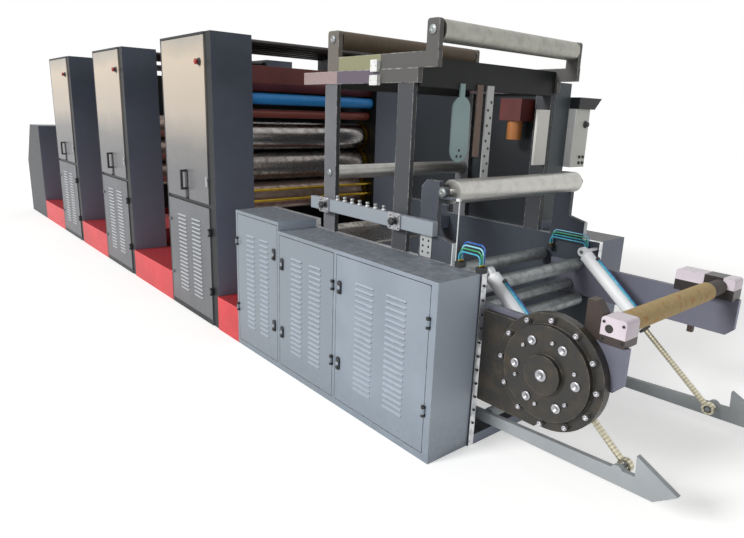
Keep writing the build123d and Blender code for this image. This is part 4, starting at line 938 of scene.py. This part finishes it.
def boxControls():
    low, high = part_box("control_box")

    def fill(shape):
        inset, drop = boxLook["knob"]
        turned(shape, boxLook["knobProfile"], (high[0], high[1] - inset, high[2] - drop), toStand, largeRound)
        for inset, rise in boxLook["lamps"]:
            turned(shape, boxLook["lampProfile"], (high[0], high[1] - inset, low[2] + rise), toStand)
    newPiece("box_controls", "black_plastic", "root", fill)


# Holes of the drilled strip, which sway to both sides of its middle, and of the rounded plate
# that hang from the cross beam. A hole is a dark disc, a hair proud of its plate.
hangLook = {"strip": -0.040, "plate": -0.290, "rise": 0.040, "pitch": 0.046, "rows": 10, "sway": 0.013,
            "plateHoles": ((-0.018, 0.135), (0.018, 0.135), (0.0, 0.170)),
            "hole": [(0.009, 0.0), (0.009, 0.0008), (0.0081, 0.001)]}


def hangingHoles():
    low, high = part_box("beam_plates")
    places = []
    for row in range(hangLook["rows"]):
        sway = hangLook["sway"] * (1 if row % 2 else -1)
        places.append((hangLook["strip"] + sway, hangLook["rise"] + row * hangLook["pitch"]))
    places += [(hangLook["plate"] + across, rise) for across, rise in hangLook["plateHoles"]]

    def fill(shape):
        for y, rise in places:
            turned(shape, hangLook["hole"], (high[0], y, low[2] + rise), toStand)
    newPiece("strip_holes", "black_plastic", "root", fill)


# Dark screws in the corners of the core bearings, by their insets from the ends of the block
bearingLook = {"insets": (0.104, 0.014), "low": 0.020, "high": 0.024, "screw": 0.006}


def bearingScrews():
    low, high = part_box("core_bearings")
    places = [(high[0] - inset, low[1], z) for inset in bearingLook["insets"]
              for z in (low[2] + bearingLook["low"], high[2] - bearingLook["high"])]
    screws("bearing_screws", "black_plastic", "root", places, toOperator, bearingLook["screw"])


# White terminal cases on the two beams of the gantry: centre on the face, width and height
caseLook = {"places": [((-0.892, -0.662, 2.024), 0.060, 0.066), ((-0.885, -0.668, 1.944), 0.070, 0.056)],
            "thick": 0.026, "corner": 0.006, "screw": 0.0035, "screwShare": 0.34}


def beamCases():
    def fill(shape):
        for (x, face, z), wide, tall in caseLook["places"]:
            roundedPlate(shape, (x, face, z), wide, tall, caseLook["thick"], caseLook["corner"])
            for side in (-1, 1):
                place = (x + side * wide * caseLook["screwShare"], face - caseLook["thick"], z)
                socketScrew(shape, place, toOperator, caseLook["screw"])
    newPiece("beam_terminal_cases", "white_case_plastic", "root", fill)


# Pale adjusting plate with two rows of three holes on the operator side stand
gaugeLook = {"centre": (-0.412, -0.662, 1.050), "wide": 0.090, "tall": 0.124, "thick": 0.003,
             "corner": 0.010, "hole": [(0.007, 0.0), (0.007, 0.0006), (0.0063, 0.0008)],
             "across": 0.022, "rise": 0.034}


def gaugePlate():
    x, face, z = gaugeLook["centre"]

    def plate(shape):
        lookPlate(shape, gaugeLook["centre"], gaugeLook)

    def holes(shape):
        for row in (-1, 0, 1):
            for side in (-1, 1):
                place = (x + side * gaugeLook["across"], face - gaugeLook["thick"],
                         z + row * gaugeLook["rise"])
                turned(shape, gaugeLook["hole"], place, toOperator)
    newPiece("gauge_plate", "pale_enamel", "root", plate)
    newPiece("gauge_plate_holes", "black_plastic", "root", holes)


# Gland ring, ports and pressure lines of the lift cylinders, on the barrel's own axis. Lengths
# and ports are measured along it from the upper pivot, and a line ends short of both ports.
glandLook = {"ring": [(0.036, 0.0), (0.036, 0.010), (0.032, 0.013), (0.0185, 0.013), (0.0185, 0.0)],
             "barrel": 0.042, "length": 0.600, "port": [(0.012, -0.006), (0.012, 0.014), (0.009, 0.018)],
             "ports": (0.100, 0.560), "short": 0.010, "line": 0.0055, "lift": 0.007, "spread": 0.012}


def barrelFittings():
    first, last = glandLook["ports"]
    reach = last - first - 2 * glandLook["short"]
    for side in ("operator", "drive"):
        barrel = "lift_barrel_" + side
        start, along = ramLine(side)
        up = Vector((-along.z, 0.0, along.x))

        def ring(shape):
            turned(shape, glandLook["ring"], start + along * glandLook["length"], along, largeRound)
            for port in glandLook["ports"]:
                turned(shape, glandLook["port"], start + along * port + up * glandLook["barrel"], up)

        def line(shift):
            def fill(shape):
                place = (start + along * (first + glandLook["short"])
                         + up * (glandLook["barrel"] + glandLook["lift"]) + Vector((0.0, shift, 0.0)))
                turned(shape, [(glandLook["line"], 0.0), (glandLook["line"], reach)], place, along, lineRound)
            return fill
        newPiece("gland_ring_" + side, "black_plastic", barrel, ring)
        newPiece("pressure_line_" + side, "cyan_hose_plastic", barrel, line(-glandLook["spread"] / 2))
        newPiece("return_line_" + side, "blue_hose_plastic", barrel, line(glandLook["spread"] / 2))


# Hexagon nuts where the air hoses enter their blocks, from the first corner of each block
hoseNut = {"blocks": ((-0.160, -0.672, 1.013), (-0.015, -0.672, 1.013), (-0.435, 0.5845, 0.910),
                      (-0.165, 0.5845, 0.910)),
           "rows": 4, "pitch": 0.0105, "first": 0.008, "nut": 0.0048, "tall": 0.010, "top": 0.0046,
           "bevel": 0.001}


def hoseFittings():
    nut = hexagon(hoseNut["nut"])
    profile = [(nut, 0.0), (nut, hoseNut["tall"]), (hoseNut["top"], hoseNut["tall"] + hoseNut["bevel"])]

    def fill(shape):
        for x, y, z in hoseNut["blocks"]:
            for row in range(hoseNut["rows"]):
                turned(shape, profile, (x, y + hoseNut["first"] + row * hoseNut["pitch"], z), upward)
    newPiece("hose_nuts", "yellow_brass", "root", fill)


for makeFittings in (stopButtons, handlePlates, lockPlates, latchHandles, housingScrews, bearingCovers,
                     railClamps, railKnobs, frameScrews, boxControls, hangingHoles, bearingScrews,
                     beamCases, gaugePlate, barrelFittings, hoseFittings):
    makeFittings()
print("fittings made")


# Stage

floorLook = {"colour": "#F4F4F2", "lift": 0.40, "size": 60.0, "grain": 900, "blend": 0.08}
lampLook = {"sun": 2.25, "softness": 18.0, "from": (-0.25, -1.0, 0.52), "ambient": 0.42}
cameraLook = {"position": (1.8856, -2.9935, 1.7636), "azimuth": 49.786, "elevation": 14.743,
              "roll": 2.0, "lens": 28.79, "sensor": 36.0, "reach": 200.0}


# Pale matt floor that shows white to the camera where it is lit, and keeps the shadow
def paleFloor(name, look):
    material, tree, place = startMaterial(name)
    grain = addNode(tree, "TexNoise", {"Scale": perMetre(look["grain"]), "Detail": 3.0,
                                       "Vector": place.outputs["Object"]})
    share = addNode(tree, "MapRange", {"To Max": look["blend"], "Value": grain})
    tone = addNode(tree, "MixRGB", {0: share, 1: look["colour"], 2: "#FFFFFF"})
    matt = addNode(tree, "BsdfDiffuse", {"Color": tone})
    glow = addNode(tree, "Emission", {"Strength": look["lift"]})
    lifted = addNode(tree, "AddShader", {0: matt, 1: glow})
    rays = addNode(tree, "LightPath", {})
    seen = addNode(tree, "Math", {"operation": "MAXIMUM", 0: rays.outputs["Is Camera Ray"],
                                  1: rays.outputs["Is Glossy Ray"]})
    choice = addNode(tree, "MixShader", {0: seen, 1: matt, 2: lifted})
    addNode(tree, "OutputMaterial", {"Surface": choice})
    return material


def makeFloor():
    half = floorLook["size"] / 2
    mesh = bpy.data.meshes.new("workshop_floor")
    shape = bmesh.new()
    corners = ((-half, -half), (half, -half), (half, half), (-half, half))
    shape.faces.new([shape.verts.new((x, y, 0)) for x, y in corners])
    shape.to_mesh(mesh)
    shape.free()
    mesh.materials.append(paleFloor("matt_painted_floor", floorLook))
    floor = bpy.data.objects.new("workshop_floor", mesh)
    bpy.context.collection.objects.link(floor)


# Soft light all round, with a white background for the camera and for what is seen in gloss
def makeWorld():
    world = bpy.data.worlds.new("studio")
    bpy.context.scene.world = world
    world.use_nodes = True
    tree = world.node_tree
    tree.nodes.clear()
    rays = addNode(tree, "LightPath", {})
    glossy = addNode(tree, "Math", {"operation": "MAXIMUM", 0: rays.outputs["Is Glossy Ray"],
                                    1: rays.outputs["Is Transmission Ray"]})
    seen = addNode(tree, "Math", {"operation": "MAXIMUM", 0: rays.outputs["Is Camera Ray"], 1: glossy})
    strength = addNode(tree, "MapRange", {"To Min": lampLook["ambient"], "To Max": 1.0, "Value": seen})
    sky = addNode(tree, "Background", {"Color": "#FFFFFF", "Strength": strength})
    addNode(tree, "OutputWorld", {"Surface": sky})


def makeSun():
    lamp = bpy.data.lights.new("window_light", "SUN")
    lamp.energy = lampLook["sun"]
    lamp.angle = math.radians(lampLook["softness"])
    holder = bpy.data.objects.new("window_light", lamp)
    holder.rotation_euler = Vector(lampLook["from"]).to_track_quat("Z", "Y").to_euler()
    bpy.context.collection.objects.link(holder)


def makeCamera():
    azimuth, elevation, roll = [math.radians(cameraLook[key]) for key in ("azimuth", "elevation", "roll")]
    back = Vector((math.sin(azimuth) * math.cos(elevation), -math.cos(azimuth) * math.cos(elevation),
                   math.sin(elevation)))
    right = Vector((math.cos(azimuth), math.sin(azimuth), 0))
    up = back.cross(right)
    columns = (math.cos(roll) * right + math.sin(roll) * up,
               -math.sin(roll) * right + math.cos(roll) * up, back)
    lens = bpy.data.cameras.new("photo_view")
    lens.lens = cameraLook["lens"]
    lens.sensor_width = cameraLook["sensor"]
    lens.clip_end = cameraLook["reach"]
    camera = bpy.data.objects.new("photo_view", lens)
    camera.matrix_world = Matrix.Translation(cameraLook["position"]) @ Matrix(columns).transposed().to_4x4()
    bpy.context.collection.objects.link(camera)
    bpy.context.scene.camera = camera


makeFloor()
makeWorld()
makeSun()
makeCamera()
bpy.context.scene.view_settings.view_transform = "Standard"
print("stage ready")
